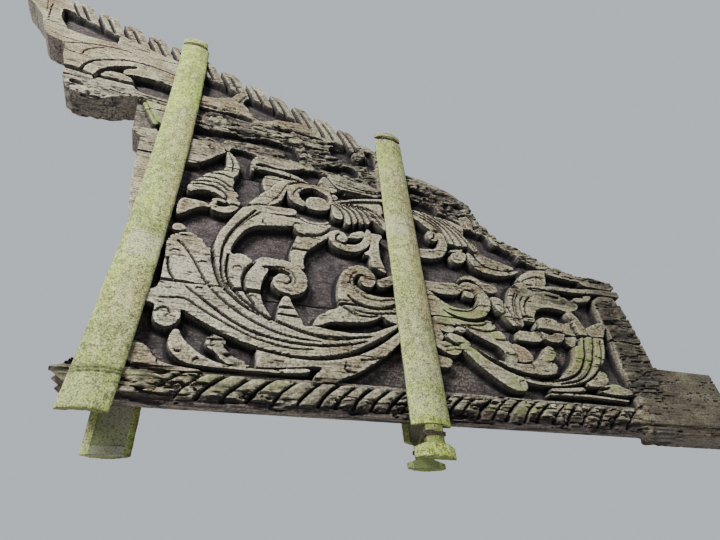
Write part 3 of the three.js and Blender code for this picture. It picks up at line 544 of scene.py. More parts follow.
# Lumps: drop below the face, then the outline
lumps = [
    (4, [(-171,1257), (-171,1257), (-168,1276), (-154,1291), (-130,1298), (-104,1296), (-80,1284),
        (-65,1266), (-62,1256), (-62,1256)]),
    (5, [(130,1285), (200,1290), (232,1300), (280,1296), (330,1300), (356,1290), (373,1270),
        (373,1250), (402,1214), (385,1211), (360,1225), (340,1232), (310,1240), (278,1235),
        (262,1225), (240,1240), (130,1236)]),
    (6, [(462,1214), (470,1233), (500,1246), (550,1253), (600,1251), (640,1256), (658,1245),
        (656,1228), (640,1214), (600,1205), (550,1201), (500,1204), (468,1203)]),
    (10, [(826,1030), (850,1062), (905,1050), (905,990), (870,985), (835,998)]),
    (9, [(806,1150), (850,1168), (862,1130), (830,1088), (812,1096)]),
    (8, [(1040,1024), (1070,1040), (1094,1032), (1080,1014), (1050,1008)]),
    (6, [(1135,930), (1160,940), (1186,930), (1180,900), (1192,866), (1165,866), (1142,864),
        (1142,890)]),
    (8, [(1202,928), (1222,920), (1226,880), (1236,860), (1206,850), (1200,880)]),
    (5, [(1246,880), (1262,892), (1282,884), (1288,850), (1292,810), (1262,806), (1252,830)]),
    (8, [(1308,880), (1330,862), (1336,820), (1330,790), (1306,796), (1302,840)]),
    (6, [(1352,808), (1380,805), (1392,780), (1390,740), (1362,738), (1350,770)]),
    (6, [(1456,752), (1480,745), (1496,700), (1490,678), (1464,680), (1458,715)]),
    (8, [(1515,728), (1540,718), (1545,690), (1520,684)]),
    (8, [(1575,700), (1600,694), (1604,670), (1580,668)]),
]

# Ribs: drop below the face, then a line with half widths
ribs = [
    (4, [(352,1402,12), (338,1366,13), (322,1336,15), (312,1306,13), (302,1284,10)]),
    (6, [(4,1157,8), (30,1104,10), (56,1050,9)]),
    (7, [(556,1184,7), (584,1152,8), (597,1110,7), (603,1070,7), (603,1030,7), (595,1004,6)]),
]

# Plain faces that start at or near the level of the seen face, under everything else
blanks = [
    (0, 5, [(-620,1860), (-620,1110), (-150,1100), (-40,1110), (-30,1170), (6,1160), (30,1108),
        (56,1056), (80,1040), (170,1040), (170,1500), (60,1570), (-400,1760)]),
    (23, 10, [(-40,1180), (6,1166), (64,1050), (60,1000), (-40,980)]),
    (13, 16, [(170,1560), (160,1000), (300,990), (450,985), (600,972), (660,985), (700,965),
        (905,935), (1000,960), (1000,860), (1100,845), (1240,815), (1300,760), (1460,690),
        (1600,655), (1900,620), (1900,700), (1400,900), (1300,1100), (900,1260), (300,1600)]),
    (0, 4, [(1725,-20), (2160,-20), (2160,250), (1895,250), (1800,160), (1740,120)]),
]

# How deep rot goes, and where it has left the wood in fibres: strength, then the outline
decay = {"fibre": 3.0, "fineFibre": 1.8, "split": 12, "fineSplit": 4, "pit": 7, "crumb": 9}
rotZones = [
    (1.0, [(150,1220), (420,1210), (640,1200), (905,1160), (905,935), (700,965), (560,1000),
        (300,1000), (150,1010)]),
    (0.9, [(1000,1100), (1340,960), (1420,790), (1895,660), (1895,600), (1450,640), (1350,780),
        (1240,830), (1000,860)]),
    (0.8, [(-300,1240), (-60,1236), (-60,1110), (-300,1110)]),
    (0.8, [(-20,96), (200,90), (420,60), (700,40), (1895,30), (1895,-20), (-20,-20)]),
    (0.75, [(1340,560), (1650,540), (1660,470), (1480,455), (1360,470)]),
    (0.8, [(1745,530), (1895,560), (1895,100), (1720,110), (1750,330)]),
    (0.6, [(540,690), (400,695), (400,722), (570,735)]),
    (0.7, [(400,310), (430,280), (500,240), (520,262), (470,318), (420,330)]),
    (0.6, [(1300,345), (1560,350), (1560,325), (1300,325)]),
    (0.5, [(600,815), (690,815), (690,745), (600,745)]),
    (1.0, [(325,205), (400,205), (470,140), (470,98), (400,100), (330,160)]),
]

# Rope along the foot, and where its grooves cross mid height, with a half width and a depth
footRope = {"low": 6, "high": 79, "end": 1745, "band": 92, "bandEnd": 1760, "bend": 11,
            "crown": 5.5, "sunk": 7, "torn": 12, "flaked": 9}
footGrooves = [
    (246,7,10), (300,6,11), (352,10,19), (412,7,12), (470,10,19), (535,7,13), (597,7,15),
    (652,10,20), (702,7,13), (748,10,19), (800,7,14), (850,9,17), (893,7,13), (950,8,16),
    (994,7,12), (1035,9,18), (1075,7,12), (1130,9,18), (1180,7,13), (1225,9,18), (1285,7,13),
    (1335,9,18), (1395,7,13), (1440,9,18), (1500,7,13), (1560,9,18), (1620,7,14), (1680,8,16),
]
crestRope = {"height": 94, "lean": 0.47, "pitch": 104, "wide": 10.5, "narrow": 7.5, "deep": 24,
             "shallow": 16, "crown": 5}


def lineMeasure(u, v, line, closed):
    # for each point: distance to the nearest place on a line, the way there, and the line's own
    # third value at that place
    start = line if closed else line[:-1]
    end = np.roll(line, -1, axis=0) if closed else line[1:]
    nearest = np.full(u.shape, 1e9)
    wayU, wayV, third = np.zeros(u.shape), np.zeros(u.shape), np.zeros(u.shape)
    for a, b in zip(start, end):
        du, dv = b[0] - a[0], b[1] - a[1]
        square = du * du + dv * dv
        if square == 0:
            continue
        share = np.clip(((u - a[0]) * du + (v - a[1]) * dv) / square, 0, 1)
        toU, toV = a[0] + share * du - u, a[1] + share * dv - v
        distance = np.hypot(toU, toV)
        if len(a) > 2:
            value = a[2] + share * (b[2] - a[2])
            distance = distance - value
        closer = distance < nearest
        nearest = np.where(closer, distance, nearest)
        wayU, wayV = np.where(closer, toU, wayU), np.where(closer, toV, wayV)
        if len(a) > 2:
            third = np.where(closer, value, third)
    return nearest, wayU, wayV, third


def insideOf(u, v, line):
    # even-odd rule: inside where a ray crosses the closed line an odd number of times
    inside = np.zeros(u.shape, bool)
    for a, b in zip(line, np.roll(line, -1, axis=0)):
        if a[1] == b[1]:
            continue
        crosses = (a[1] > v) != (b[1] > v)
        inside ^= crosses & (u < (b[0] - a[0]) * (v - a[1]) / (b[1] - a[1]) + a[0])
    return inside


def nearby(u, v, line, margin):
    # indices of the points that lie in the line's box, widened by a margin
    low, high = line[:, :2].min(axis=0) - margin, line[:, :2].max(axis=0) + margin
    return np.nonzero((u > low[0]) & (u < high[0]) & (v > low[1]) & (v < high[1]))[0]


def outlineField(u, v, points, margin=14, soft=True):
    # signed distance to a closed outline, negative inside, with the points it was measured at
    line = softened(points, True) if soft else np.array(points, float)
    here = nearby(u, v, line, margin)
    distance, wayU, wayV, _ = lineMeasure(u[here], v[here], line, True)
    inside = insideOf(u[here], v[here], line)
    return here, np.where(inside, -distance, distance), wayU, wayV


def bandField(u, v, points, margin=14):
    # distance to the edge of a band whose half width changes along its line, negative inside
    line = softened(points, False)
    here = nearby(u, v, line, margin + line[:, 2].max())
    distance, wayU, wayV, half = lineMeasure(u[here], v[here], line, False)
    length = np.hypot(wayU, wayV)
    scale = (length - half) / np.maximum(length, 1e-6)
    return here, distance, wayU * scale, wayV * scale


def groundLevel(u, v):
    # the sunk ground between the leaves; it rises to the plain faces along a soft slope
    ground = board["groundDepth"] + 3 * drift(u, v, 120, 90, 11) + 1.2 * drift(u, v, 26, 14, 12)
    for drop, run, points in blanks:
        here, distance, _, _ = outlineField(u, v, points, run + 6, False)
        sunk = drop + (ground[here] - drop) * ease(0, run, distance)
        ground[here] = np.minimum(ground[here], sunk)
    return ground


def pullOnto(shift, here, wayU, wayV, gap, allowed=True):
    # notes the way to an edge for the allowed points that have found no nearer one
    near = allowed & (gap < shift["gap"][here])
    at = here[near]
    shift["u"][at], shift["v"][at], shift["gap"][at] = wayU[near], wayV[near], gap[near]


def raiseLeaves(u, v, ground, spacing, shift):
    # leaves and bands: a top with a rounded edge, and a steep carved wall down to the ground
    edge, level = np.full(u.size, 99.0), np.zeros(u.size)
    forms = [(drop,) + outlineField(u, v, points) for drop, points in leaves]
    forms += [(drop,) + bandField(u, v, points) for drop, points in bands]
    for drop, here, distance, _, _ in forms:
        inside, already = distance < 0, edge[here] < 0
        higher = inside & (~already | (drop < level[here]))
        takes = higher | (~inside & ~already & (distance < edge[here]))
        level[here[takes]] = drop
        edge[here] = np.minimum(edge[here], distance)
    for _, here, distance, wayU, wayV in forms:
        pullOnto(shift, here, wayU, wayV, np.abs(distance), edge[here] > -0.6 * spacing)
    edge = np.where((shift["gap"] < 0.5 * spacing) & (edge > 0), 0, edge)
    top = level + 0.8 * drift(u, v, 90, 60, 21) + board["edgeRound"] * (1 - ease(0, 6, -edge))
    top = np.minimum(top, ground)
    return top + (ground - top) * ease(0, board["wallRun"], edge)


def sinkPockets(u, v, depth, shift):
    # steep at the top, a long slope up at the bottom
    for deep, run, points in pockets:
        here, distance, wayU, wayV = outlineField(u, v, points, 4)
        below = np.clip(-wayV / np.maximum(np.hypot(wayU, wayV), 1e-6), 0, 1)
        share = ease(0, 1, -distance / (5 + (run - 5) * below ** 1.5))
        floor = deep + 1.5 * drift(u[here], v[here], 40, 22, 31)
        depth[here] = np.maximum(depth[here], depth[here] * (1 - share) + floor * share)
        pullOnto(shift, here, wayU, wayV, np.abs(distance))


def raiseLumps(u, v, depth):
    # lumps and ribs stand in the pockets, with rough tops and soft sides
    forms = [(drop,) + outlineField(u, v, points) for drop, points in lumps]
    forms += [(drop,) + bandField(u, v, points) for drop, points in ribs]
    for drop, here, distance, _, _ in forms:
        rough = drop + 2 * drift(u[here], v[here], 22, 9, 41)
        rough = rough + board["edgeRound"] * (1 - ease(0, 6, -distance))
        share = ease(0, 5, distance)
        depth[here] = np.minimum(depth[here], rough * (1 - share) + depth[here] * share)


def cutGrooves(u, v, depth, spacing, shift):
    # grooves and nicks are cut only where there is a top to cut
    cuts = list(grooves)
    for centreU, centreV, radius, first, last in nicks:
        turn = np.radians(np.linspace(first, last, 7))
        half = 1.5 + 1.6 * np.sin(np.linspace(0, math.pi, 7))
        arc = [centreU + radius * np.cos(turn), centreV + radius * np.sin(turn), half]
        cuts.append((board["nickDepth"], np.stack(arc, axis=1)))
    grooved, snapReach = np.zeros(u.size), 0.45 * spacing
    for deep, points in cuts:
        line = softened(points, False)
        here = nearby(u, v, line, 12)
        _, wayU, wayV, half = lineMeasure(u[here], v[here], line, False)
        half = np.maximum(half, 1.0)
        length = np.hypot(wayU, wayV)
        aside = np.where(length < snapReach, 0, length) / np.maximum(half, 0.7 * spacing)
        profile = 1 - ease(0.25, 1.15, aside)
        grooved[here] = np.maximum(grooved[here], deep * profile * np.minimum(1, (half + 1) / 4))
        pullOnto(shift, here, wayU, wayV, length, length < snapReach)
    return depth + grooved * np.clip(1.3 - depth / 30, 0, 1)


def layFootRope(u, v, depth):
    # slanted strands, each a low dome between two grooves, under a split band
    low, high, end, bandEnd = (footRope[key] for key in ("low", "high", "end", "bandEnd"))
    lean = np.interp(u, [300, 1700], [1.0, 0.8])
    bow = footRope["bend"] * np.sin((v - low) / (high - low) * math.pi)
    crossing = u - lean * (v - 0.5 * (low + high)) + bow - footRope["bend"]
    crossing = crossing + 3 * drift(u, v, 60, 30, 15)
    strand, nearest = np.zeros(u.size), np.full(u.size, 60.0)
    for at, half, deep in footGrooves:
        aside = np.abs(crossing - at)
        strand = np.maximum(strand, deep * (1 - ease(0.1, 0.9, aside / half)))
        nearest = np.minimum(nearest, aside)
    dome = footRope["crown"] * (1 - np.clip(nearest / 27, 0, 1)) ** 2
    # some strands have sunk, and all are torn and flaked in places
    order = np.searchsorted([at for at, _, _ in footGrooves], crossing)
    sunk = np.random.default_rng(18).uniform(0, 1, len(footGrooves) + 1)[order]
    sunk = footRope["sunk"] * sunk ** 2
    torn = ease(0.24, 0.04, np.abs(drift(u, v, 58, 12, 64) + 0.3 * drift(u, v, 22, 8, 65)))
    torn = footRope["torn"] * torn * ease(-0.75, -0.05, drift(u, v, 110, 34, 66))
    flaked = footRope["flaked"] * ease(0.0, 0.4, drift(u, v, 48, 12, 67))
    strand = strand + sunk + torn + flaked * ease(66, 40, v)
    fade = ease(end, end - 60, u) * ease(190, 290, u)
    inRope = ease(low - 4, low + 8, v) * ease(high + 2, high - 3, v)
    foot = np.where(u > 1000, 36, 21)
    top = 2.5 + (strand + dome) * fade + 10 * ease(foot, foot - 14, v)
    top = np.minimum(top, board["ropeDeepest"])
    depth = np.where(inRope > 0, depth * (1 - inRope) + top * inRope, depth)
    band = ease(high - 4, high, v) * ease(footRope["band"] + 3, footRope["band"] - 3, v)
    band = band * ease(bandEnd, bandEnd - 20, u)
    layers = 8 + 9 * np.abs(drift(u, v, 110, 6, 16)) + 7 * ease(0.1, 0.6, drift(u, v, 70, 8, 17))
    depth = np.maximum(depth, layers * band)
    depth = np.where(band > 0.5, np.minimum(depth, 22), depth)
    return np.where((v < low + 8) & (u < bandEnd), np.maximum(np.minimum(depth, 24), 10), depth)


def layCrestRope(u, v, depth):
    # deep notches between the scallops and a narrow cut inside each; a point's place along the
    # rope is found by following the strands' slant up to the crest
    rope, sourceU = crestRope, u
    for _ in range(3):
        sourceV = np.interp(sourceU, crestNotches[:, 0], crestNotches[:, 1])
        sourceU = u - rope["lean"] * (sourceV - v)
    under = sourceV - v
    order = np.interp(sourceU, crestNotches[:, 0], np.arange(len(crestNotches)))
    place = (order - np.round(order)) * rope["pitch"]
    inner = (order - np.floor(order) - 0.46) * rope["pitch"]
    height = rope["height"] - 18 * ease(320, 360, u) * ease(600, 560, u)
    notch = rope["deep"] * (1 - ease(0.2, 1.2, np.abs(place) / rope["wide"]))
    slit = rope["shallow"] * (1 - ease(0.2, 1.2, np.abs(inner) / rope["narrow"]))
    slit = slit * ease(-22, 6, under) * ease(90, 66, under)
    aside = np.minimum(np.abs(place), np.abs(inner))
    crown = rope["crown"] * (1 - np.clip(aside / 24, 0, 1)) ** 2
    top = 2.5 + crown + np.maximum(notch, slit) + 6 * ease(height - 34, height, under)
    inRope = ease(-398, -390, sourceU) * ease(846, 836, sourceU)
    inRope = inRope * ease(height + 5, height - 5, under)
    return depth * (1 - inRope) + np.minimum(top, board["ropeDeepest"]) * inRope, inRope


def rotWood(u, v, depth):
    # fibres along the grain, splits between them, and crumbled pits
    rot = np.zeros(u.size)
    for strength, points in rotZones:
        here, distance, _, _ = outlineField(u, v, points, 30, False)
        rot[here] = np.maximum(rot[here], strength * ease(14, -22, distance))
    rot = np.maximum(rot, 0.23 + 0.19 * drift(u, v, 140, 60, 51))
    rot = np.maximum(rot, 0.9 * ease(110, 50, u) * ease(128, 108, v))
    fibre = decay["fibre"] * drift(u, v, 95, 6.5, 52)
    fibre = fibre + decay["fineFibre"] * drift(u, v, 46, 5.6, 53)
    lines = np.abs(drift(u, v, 110, 12, 54) + 0.25 * drift(u, v, 34, 8, 55))
    split = ease(0.16, 0.0, lines) * ease(-0.25, 0.25, drift(u, v, 130, 30, 56))
    pits = ease(0.3, 0.75, drift(u, v, 24, 11, 57))
    crumbled = ease(0.0, 0.5, drift(u, v, 52, 19, 58) + 0.4 * drift(u, v, 19, 9, 59))
    worn = rot * (fibre + decay["split"] * split + decay["pit"] * pits)
    worn = worn + decay["crumb"] * (ease(0.6, 1.0, rot) * crumbled)
    depth = depth + np.where(depth < 34, worn, 0.35 * worn)
    fineSplit = ease(0.06, 0.0, lines) * ease(-0.2, 0.4, drift(u, v, 200, 40, 60)) * (depth < 30)
    return depth + decay["fineSplit"] * fineSplit, rot


def openSeams(u, v, depth):
    # the seams between the planks gape in places, the one over the floor beam most of all
    for seam, deep, gape in seamCuts:
        opening = 1.2 + 2.6 * ease(-0.3, 0.6, drift(u, seam, 85, 50, 61))
        opening = gape * (opening + 0.8 * drift(u, seam, 21, 50, 62))
        cut = 1 - ease(0.4, 1.5, np.abs(v - seam) / np.maximum(opening, 1.2))
        cut = deep * cut * np.clip(1.3 - depth / 40, 0, 1)
        depth = np.where(np.abs(v - seam) < 9, depth + cut, depth)
    return np.clip(depth, 0.3, board["deepestCut"])


def stains(u, v, depth, rot, crest):
    # moss by the great circle, on the foot rope and on the left edge
    damp = ease(1010, 1080, u) * ease(1720, 1640, u) * ease(84, 110, v) * ease(520, 400, v)
    damp = 0.6 * damp * ease(-0.3, 0.4, drift(u, v, 110, 70, 63)) * ease(16, 8, depth)
    onRope = 0.55 * ease(20, 40, v) * ease(84, 70, v) * ease(12, 5, depth)
    onRope = onRope * ease(-0.2, 0.4, drift(u, v, 160, 60, 64))
    ridge = np.abs((u - 32) + 0.5 * (v - 1104))
    atEdge = ease(19, 11, ridge) * ease(1030, 1046, v) * ease(1168, 1155, v)
    # the lower lobe and the great fan are paler
    lobe = 0.5 * ease(-330, -280, u) * ease(-40, -80, u) * ease(1252, 1236, v) * ease(1100, 1112, v)
    fan = 0.6 * ease(100, 180, u) * ease(640, 460, u) * ease(140, 220, v) * ease(540, 430, v)
    # soil and painted shade: painted shade under the rail's lip on the split band and at the lower
    # left beside the culm, painted shade with soil towards the bottom of the foot rope and on the
    # root by the wall, and soil on some of the rope's strands, on the crest plank and its rope, the
    # broken end and in the rot
    soilAndShadeMasks = [
        ease(50, 24, v + 14 * drift(u, v, 60, 30, 68)) * ease(1760, 1700, u)
        * np.interp(u, [400, 1000], [0.3, 0.95]),
        0.35 * ease(86, 60, v) * ease(1760, 1700, u) * ease(-0.5, 0.3, drift(u, v, 40, 30, 91)),
        0.6 * ease(0.1, 0.5, drift(u, v, 52, 260, 71)) * ease(98, 90, v),
        0.34 * ease(1110, 1180, v) * ease(-0.9, 0.3, drift(u, v, 160, 60, 90)),
        crest * (0.42 + 0.25 * drift(u, v, 90, 40, 92)),
        0.35 * ease(108, 92, v) * ease(80, 90, v),
        0.8 * ease(90, 40, u) * ease(128, 108, v),
        ease(1690, 1800, u) * (0.95 + 0.3 * drift(u, v, 120, 24, 69)),
        0.4 * ease(40, 110, v) * ease(230, 130, v) * ease(230, 150, u),
        0.4 * rot * ease(-0.2, 0.4, drift(u, v, 160, 50, 70))]
    return {"rot": rot, "moss": np.maximum(np.maximum(damp, onRope), atEdge),
            "pale": np.maximum(lobe, fan), "soilAndShade": np.clip(np.max(soilAndShadeMasks, axis=0), 0, 1)}


def carve(u, v, spacing):
    # depth below the face for every point, the small shift that puts points on the carving's
    # edges, and the stains
    shift = {"u": np.zeros(u.size), "v": np.zeros(u.size), "gap": np.full(u.size, 0.5 * spacing)}
    depth = raiseLeaves(u, v, groundLevel(u, v), spacing, shift)
    sinkPockets(u, v, depth, shift)
    raiseLumps(u, v, depth)
    depth = cutGrooves(u, v, depth, spacing, shift)
    depth = layFootRope(u, v, depth)
    depth, crest = layCrestRope(u, v, depth)
    depth, rot = rotWood(u, v, depth)
    depth = openSeams(u, v, depth)
    return depth, shift, stains(u, v, depth, rot, crest)


def blurred(field, reach):
    # mean over a square window, by running sums
    padded = np.pad(field, reach + 1, mode="edge")
    total = padded.cumsum(axis=0).cumsum(axis=1)
    size = 2 * reach + 1
    rows, columns = field.shape
    return (total[size:size + rows, size:size + columns] - total[:rows, size:size + columns]
            - total[size:size + rows, :columns] + total[:rows, :columns]) / size ** 2


def latticeOf(node, spacing, outline):
    # grid points over a plank; those near its outline or a seam are moved onto it
    low, high = board["seams"][node]
    low, high = low + board["seamGap"] / 2, high - board["seamGap"] / 2
    reach = (outline[:, 1] > low) & (outline[:, 1] < high)
    firstU, lastU = outline[reach, 0].min(), outline[reach, 0].max()
    if node == "floor_beam":
        firstU, lastU = 0, board["rootLength"]
    firstU, lastU = firstU - board["margin"], lastU + board["margin"]
    stepU, stepV = board["cellWide"] * spacing, board["cellHigh"] * spacing
    columns = int((lastU - firstU) / stepU) + 2
    rows = int((min(high, board["tipHeight"]) - low) / stepV) + 4
    gridU, gridV = np.meshgrid(firstU + stepU * np.arange(columns),
                               low - stepV + stepV * np.arange(rows))
    u, v = gridU.ravel(), gridV.ravel()
    distance, wayU, wayV, _ = lineMeasure(u, v, outline, True)
    outside = np.where(insideOf(u, v, outline), -distance, distance)
    overSeam = np.maximum(low - v, v - high)
    far, near = np.maximum(outside, overSeam), board["snapShare"] * spacing
    snap = np.abs(far) < near
    toLine = snap & (np.abs(outside) < near) & ((outside >= overSeam) | (overSeam > -near))
    toSeam = snap & (np.abs(overSeam) < near)
    u, v = np.where(toLine, u + wayU, u), np.where(toLine, v + wayV, v)
    v = np.where(toSeam, np.where(np.abs(v - low) < np.abs(v - high), low, high), v)
    return u, np.clip(v, low, high), far, snap, (rows, columns)


def cellsOf(shape, far, snap):
    # the cells inside the outline, and the edges that only one of them uses
    index = np.arange(shape[0] * shape[1]).reshape(shape)
    cells = np.stack([index[:-1, :-1], index[:-1, 1:], index[1:, 1:], index[1:, :-1]], axis=-1)
    cells = cells.reshape(-1, 4)
    beyond = ((far > 0) & ~snap)[cells].any(axis=1)
    cells = cells[~beyond & (~snap[cells].all(axis=1) | (far[cells].mean(axis=1) < 0))]
    starts, ends = cells.ravel(), np.roll(cells, -1, axis=1).ravel()
    forward, backward = starts * far.size + ends, ends * far.size + starts
    single = ~np.isin(forward, backward)
    return cells, starts[single], ends[single]


def storeAll(mesh, stores, domain="POINT"):
    # attributes for the materials to read
    for key, values in stores.items():
        layer = mesh.attributes.new(key, "FLOAT", domain)
        layer.data.foreach_set("value", values.ravel().astype(np.float32))


def addPiece(name, mesh, material):
    # a smooth object in the scene
    mesh.polygons.foreach_set("use_smooth", np.ones(len(mesh.polygons), bool))
    mesh.materials.append(material)
    piece = bpy.data.objects.new(name, mesh)
    bpy.context.scene.collection.objects.link(piece)
    return piece


def plankHalf(name, node, side, spacing, outline, material):
    # One face of a plank as a relief over a lattice, joined to side walls that run to the plank's
    # middle: depth on the walls = face depth + level x (half the thickness - face depth).
    u, v, far, snap, shape = latticeOf(node, spacing, outline)
    depth, shift, stores = carve(u, v, spacing)
    free = ~snap & (far < -1.2 * spacing)
    u, v = np.where(free, u + shift["u"], u), np.where(free, v + shift["v"], v)
    relief = depth.reshape(shape)
    blur = max(int(board["cavityReach"] / spacing), 1)
    stores["cavity"] = (relief - blurred(relief, blur)).ravel()
    stores["hollow"] = depth / board["fullDepth"]

    cells, starts, ends = cellsOf(shape, far, snap)
    used = np.unique(cells)
    cells, starts, ends = (np.searchsorted(used, index) for index in (cells, starts, ends))
    rim = np.unique(np.concatenate([starts, ends]))
    first, second = np.searchsorted(rim, starts), np.searchsorted(rim, ends)
    levels = np.array([0.25, 0.5, 0.75, 1.0])[:, None]
    count = len(levels)
    u, v, depth = u[used], v[used], depth[used]
    wallU, wallV = np.tile(u[rim], (count, 1)), np.tile(v[rim], (count, 1))
    if side > 0:
        # the worn underside slopes down to the middle of the plank
        slope = board["farWear"] * ease(60, 130, wallU) * ease(1800, 1760, wallU)
        wallV = wallV - slope * (wallV < board["farWear"] + 4) * levels
    # the broken end of the floor beam is splintered between its two faces
    splinter = 0.5 + 0.5 * side * drift(wallV, levels * 60, 9, 16, 93)
    bite = board["splinter"] * splinter * levels * (1 - levels) * 4
    wallU = wallU + bite * (wallU < 40) * ease(128, 112, wallV)
    wallDepth = depth[rim] + levels * (board["thickness"] / 2 - depth[rim])
    rows = np.vstack([rim[None], used.size + np.arange(count * rim.size).reshape(count, -1)])
    walls = [np.stack([upper[second], upper[first], lower[first], lower[second]], axis=1)
             for upper, lower in zip(rows[:-1], rows[1:])]
    quads = np.concatenate([cells] + walls)
    allDepth = np.concatenate([depth, wallDepth.ravel()])
    if side > 0:
        quads, allDepth = quads[:, ::-1], board["thickness"] - allDepth
    allU, allV = np.concatenate([u, wallU.ravel()]), np.concatenate([v, wallV.ravel()])
    points = inFrame(allU, allV, allDepth)

    mesh = bpy.data.meshes.new(name)
    mesh.vertices.add(len(points))
    mesh.vertices.foreach_set("co", points.ravel())
    mesh.loops.add(quads.size)
    mesh.loops.foreach_set("vertex_index", quads.ravel().astype(np.int32))
    mesh.polygons.add(len(quads))
    mesh.polygons.foreach_set("loop_start", np.arange(0, quads.size, 4, dtype=np.int32))
    mesh.update(calc_edges=True)
    onWalls = {key: np.tile(values[used][rim], count) for key, values in stores.items()}
    onWalls["cavity"] = np.zeros(wallU.size)
    onWalls["hollow"] = onWalls["hollow"] * 0.5 + 0.2
    onWalls["soilAndShade"] = onWalls["soilAndShade"] * (0.6 + 0.5 * (wallU.ravel() < 70))
    storeAll(mesh, {key: np.concatenate([values[used], onWalls[key]])
                    for key, values in stores.items()})
    build = bmesh.new()
    build.from_mesh(mesh)
    bmesh.ops.holes_fill(build, edges=[edge for edge in build.edges if edge.is_boundary], sides=0)
    build.to_mesh(mesh)
    build.free()
    # painted shade on the carved walls, those that face down most of all; the board's own flanks
    # get less
    normals = np.zeros(len(mesh.polygons) * 3)
    mesh.polygons.foreach_get("normal", normals)
    normals = normals.reshape(-1, 3)
    flank = (np.arange(len(normals)) >= len(cells)).astype(float)
    paintedWallShade = ease(0.86, 0.42, np.abs(normals[:, 1])) * (0.5 + 0.5 * ease(0.15, -0.6, normals[:, 2]))
    paintedWallShade = np.where(flank > 0, 0.05 + 0.15 * ease(0.0, -0.9, normals[:, 2]), paintedWallShade)
    storeAll(mesh, {"paintedWallShade": paintedWallShade, "flank": flank}, "FACE")
    mesh.set_sharp_from_angle(angle=math.radians(board["sharpAngle"]))
    piece = addPiece(name, mesh, material)
    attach(piece, "root")
    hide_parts(node)
    print(f"{name}: {len(mesh.polygons)} faces")


def linear(code):
    # an sRGB hex colour as Blender's linear colour
    parts = [int(code[i:i + 2], 16) / 255 for i in (1, 3, 5)]
    return tuple(p / 12.92 if p <= 0.04045 else ((p + 0.055) / 1.055) ** 2.4 for p in parts) + (1,)


def addNode(tree, kind, inputs=None, **settings):
    # an input takes another node's output, a value or a hex colour
    node = tree.nodes.new(kind)
    for name, value in settings.items():
        setattr(node, name, value)
    for socket, value in (inputs or {}).items():
        if isinstance(value, bpy.types.NodeSocket):
            tree.links.new(value, node.inputs[socket])
        else:
            node.inputs[socket].default_value = linear(value) if isinstance(value, str) else value
    return node


def painted(tree, under, layers):
    # Lays paints over one another. A layer has a strength, a paint and masks; a mask is a value,
    # taken as it is or eased from nothing to full between two of its values.
    for strength, paint, *masks in layers:
        share = strength
        for source, *ends in masks:
            if ends:
                source = addNode(tree, "ShaderNodeMapRange",
                                 {"Value": source, "From Min": ends[0], "From Max": ends[1]},
                                 interpolation_type="SMOOTHSTEP").outputs["Result"]
            share = addNode(tree, "ShaderNodeMath", {0: source, 1: share},
                            operation="MULTIPLY").outputs[0]
        under = addNode(tree, "ShaderNodeMix", {0: share, 6: under, 7: paint},
                        data_type="RGBA").outputs[2]
    return under


def newFinish(name, look):
    # a material with its constants set, its node tree and the object's own coordinates
    material = bpy.data.materials.new(name)
    material.use_nodes = True
    surface = material.node_tree.nodes["Principled BSDF"]
    for socket, value in look["surface"].items():
        surface.inputs[socket].default_value = value
    place = addNode(material.node_tree, "ShaderNodeTexCoord").outputs["Object"]
    return material, material.node_tree, place


def dress(tree, colour, bumps):
    # the colour and the relief too fine for the mesh: height, strength, reach in metres
    surface = tree.nodes["Principled BSDF"]
    tree.links.new(colour, surface.inputs["Base Color"])
    under = {}
    for height, strength, reach in bumps:
        bump = addNode(tree, "ShaderNodeBump",
                       {"Height": height, "Strength": strength, "Distance": reach, **under})
        under = {"Normal": bump.outputs[0]}
    tree.links.new(under["Normal"], surface.inputs["Normal"])


# Hardwood left bare for decades: pale grey-green tops, brown where the tool cut deep, soft dark
# grain along the plank, pin holes and pale lichen. Where rot has set in it is darker and rougher.
# Painted shade darkens the recesses, corners and carved walls, most in the deepest pockets, and a
# painted highlight lightens raised edges.
woodLooks = {
    "weathered": {
        "top": "#a8a58b", "topWarm": "#938467", "topGreen": "#82876a", "paleTop": "#b9b7a6",
        "ground": "#4a4345", "groundPale": "#6b6364", "bare": "#877c74", "dark": "#15141a",
        "moss": "#7d8c4c", "lichenAndHighlight": "#cdcab8", "flank": "#a19b96", "soilAndShade": "#3a3330",
        "grainMm": 2.8, "grainLengthMm": 60, "checkMm": 6, "checkLengthMm": 130, "bump": 0.7,
        "surface": {"Roughness": 0.88, "Specular IOR Level": 0.25}},
    "rotted": {
        "top": "#97937f", "topWarm": "#827765", "topGreen": "#767a5e", "paleTop": "#aaa796",
        "ground": "#403a3a", "groundPale": "#5f5753", "bare": "#756c63", "dark": "#131217",
        "moss": "#6f7f45", "lichenAndHighlight": "#c2bfae", "flank": "#78716c", "soilAndShade": "#322c29",
        "grainMm": 3.4, "grainLengthMm": 42, "checkMm": 7, "checkLengthMm": 90, "bump": 1.0,
        "surface": {"Roughness": 0.92, "Specular IOR Level": 0.25}},
}


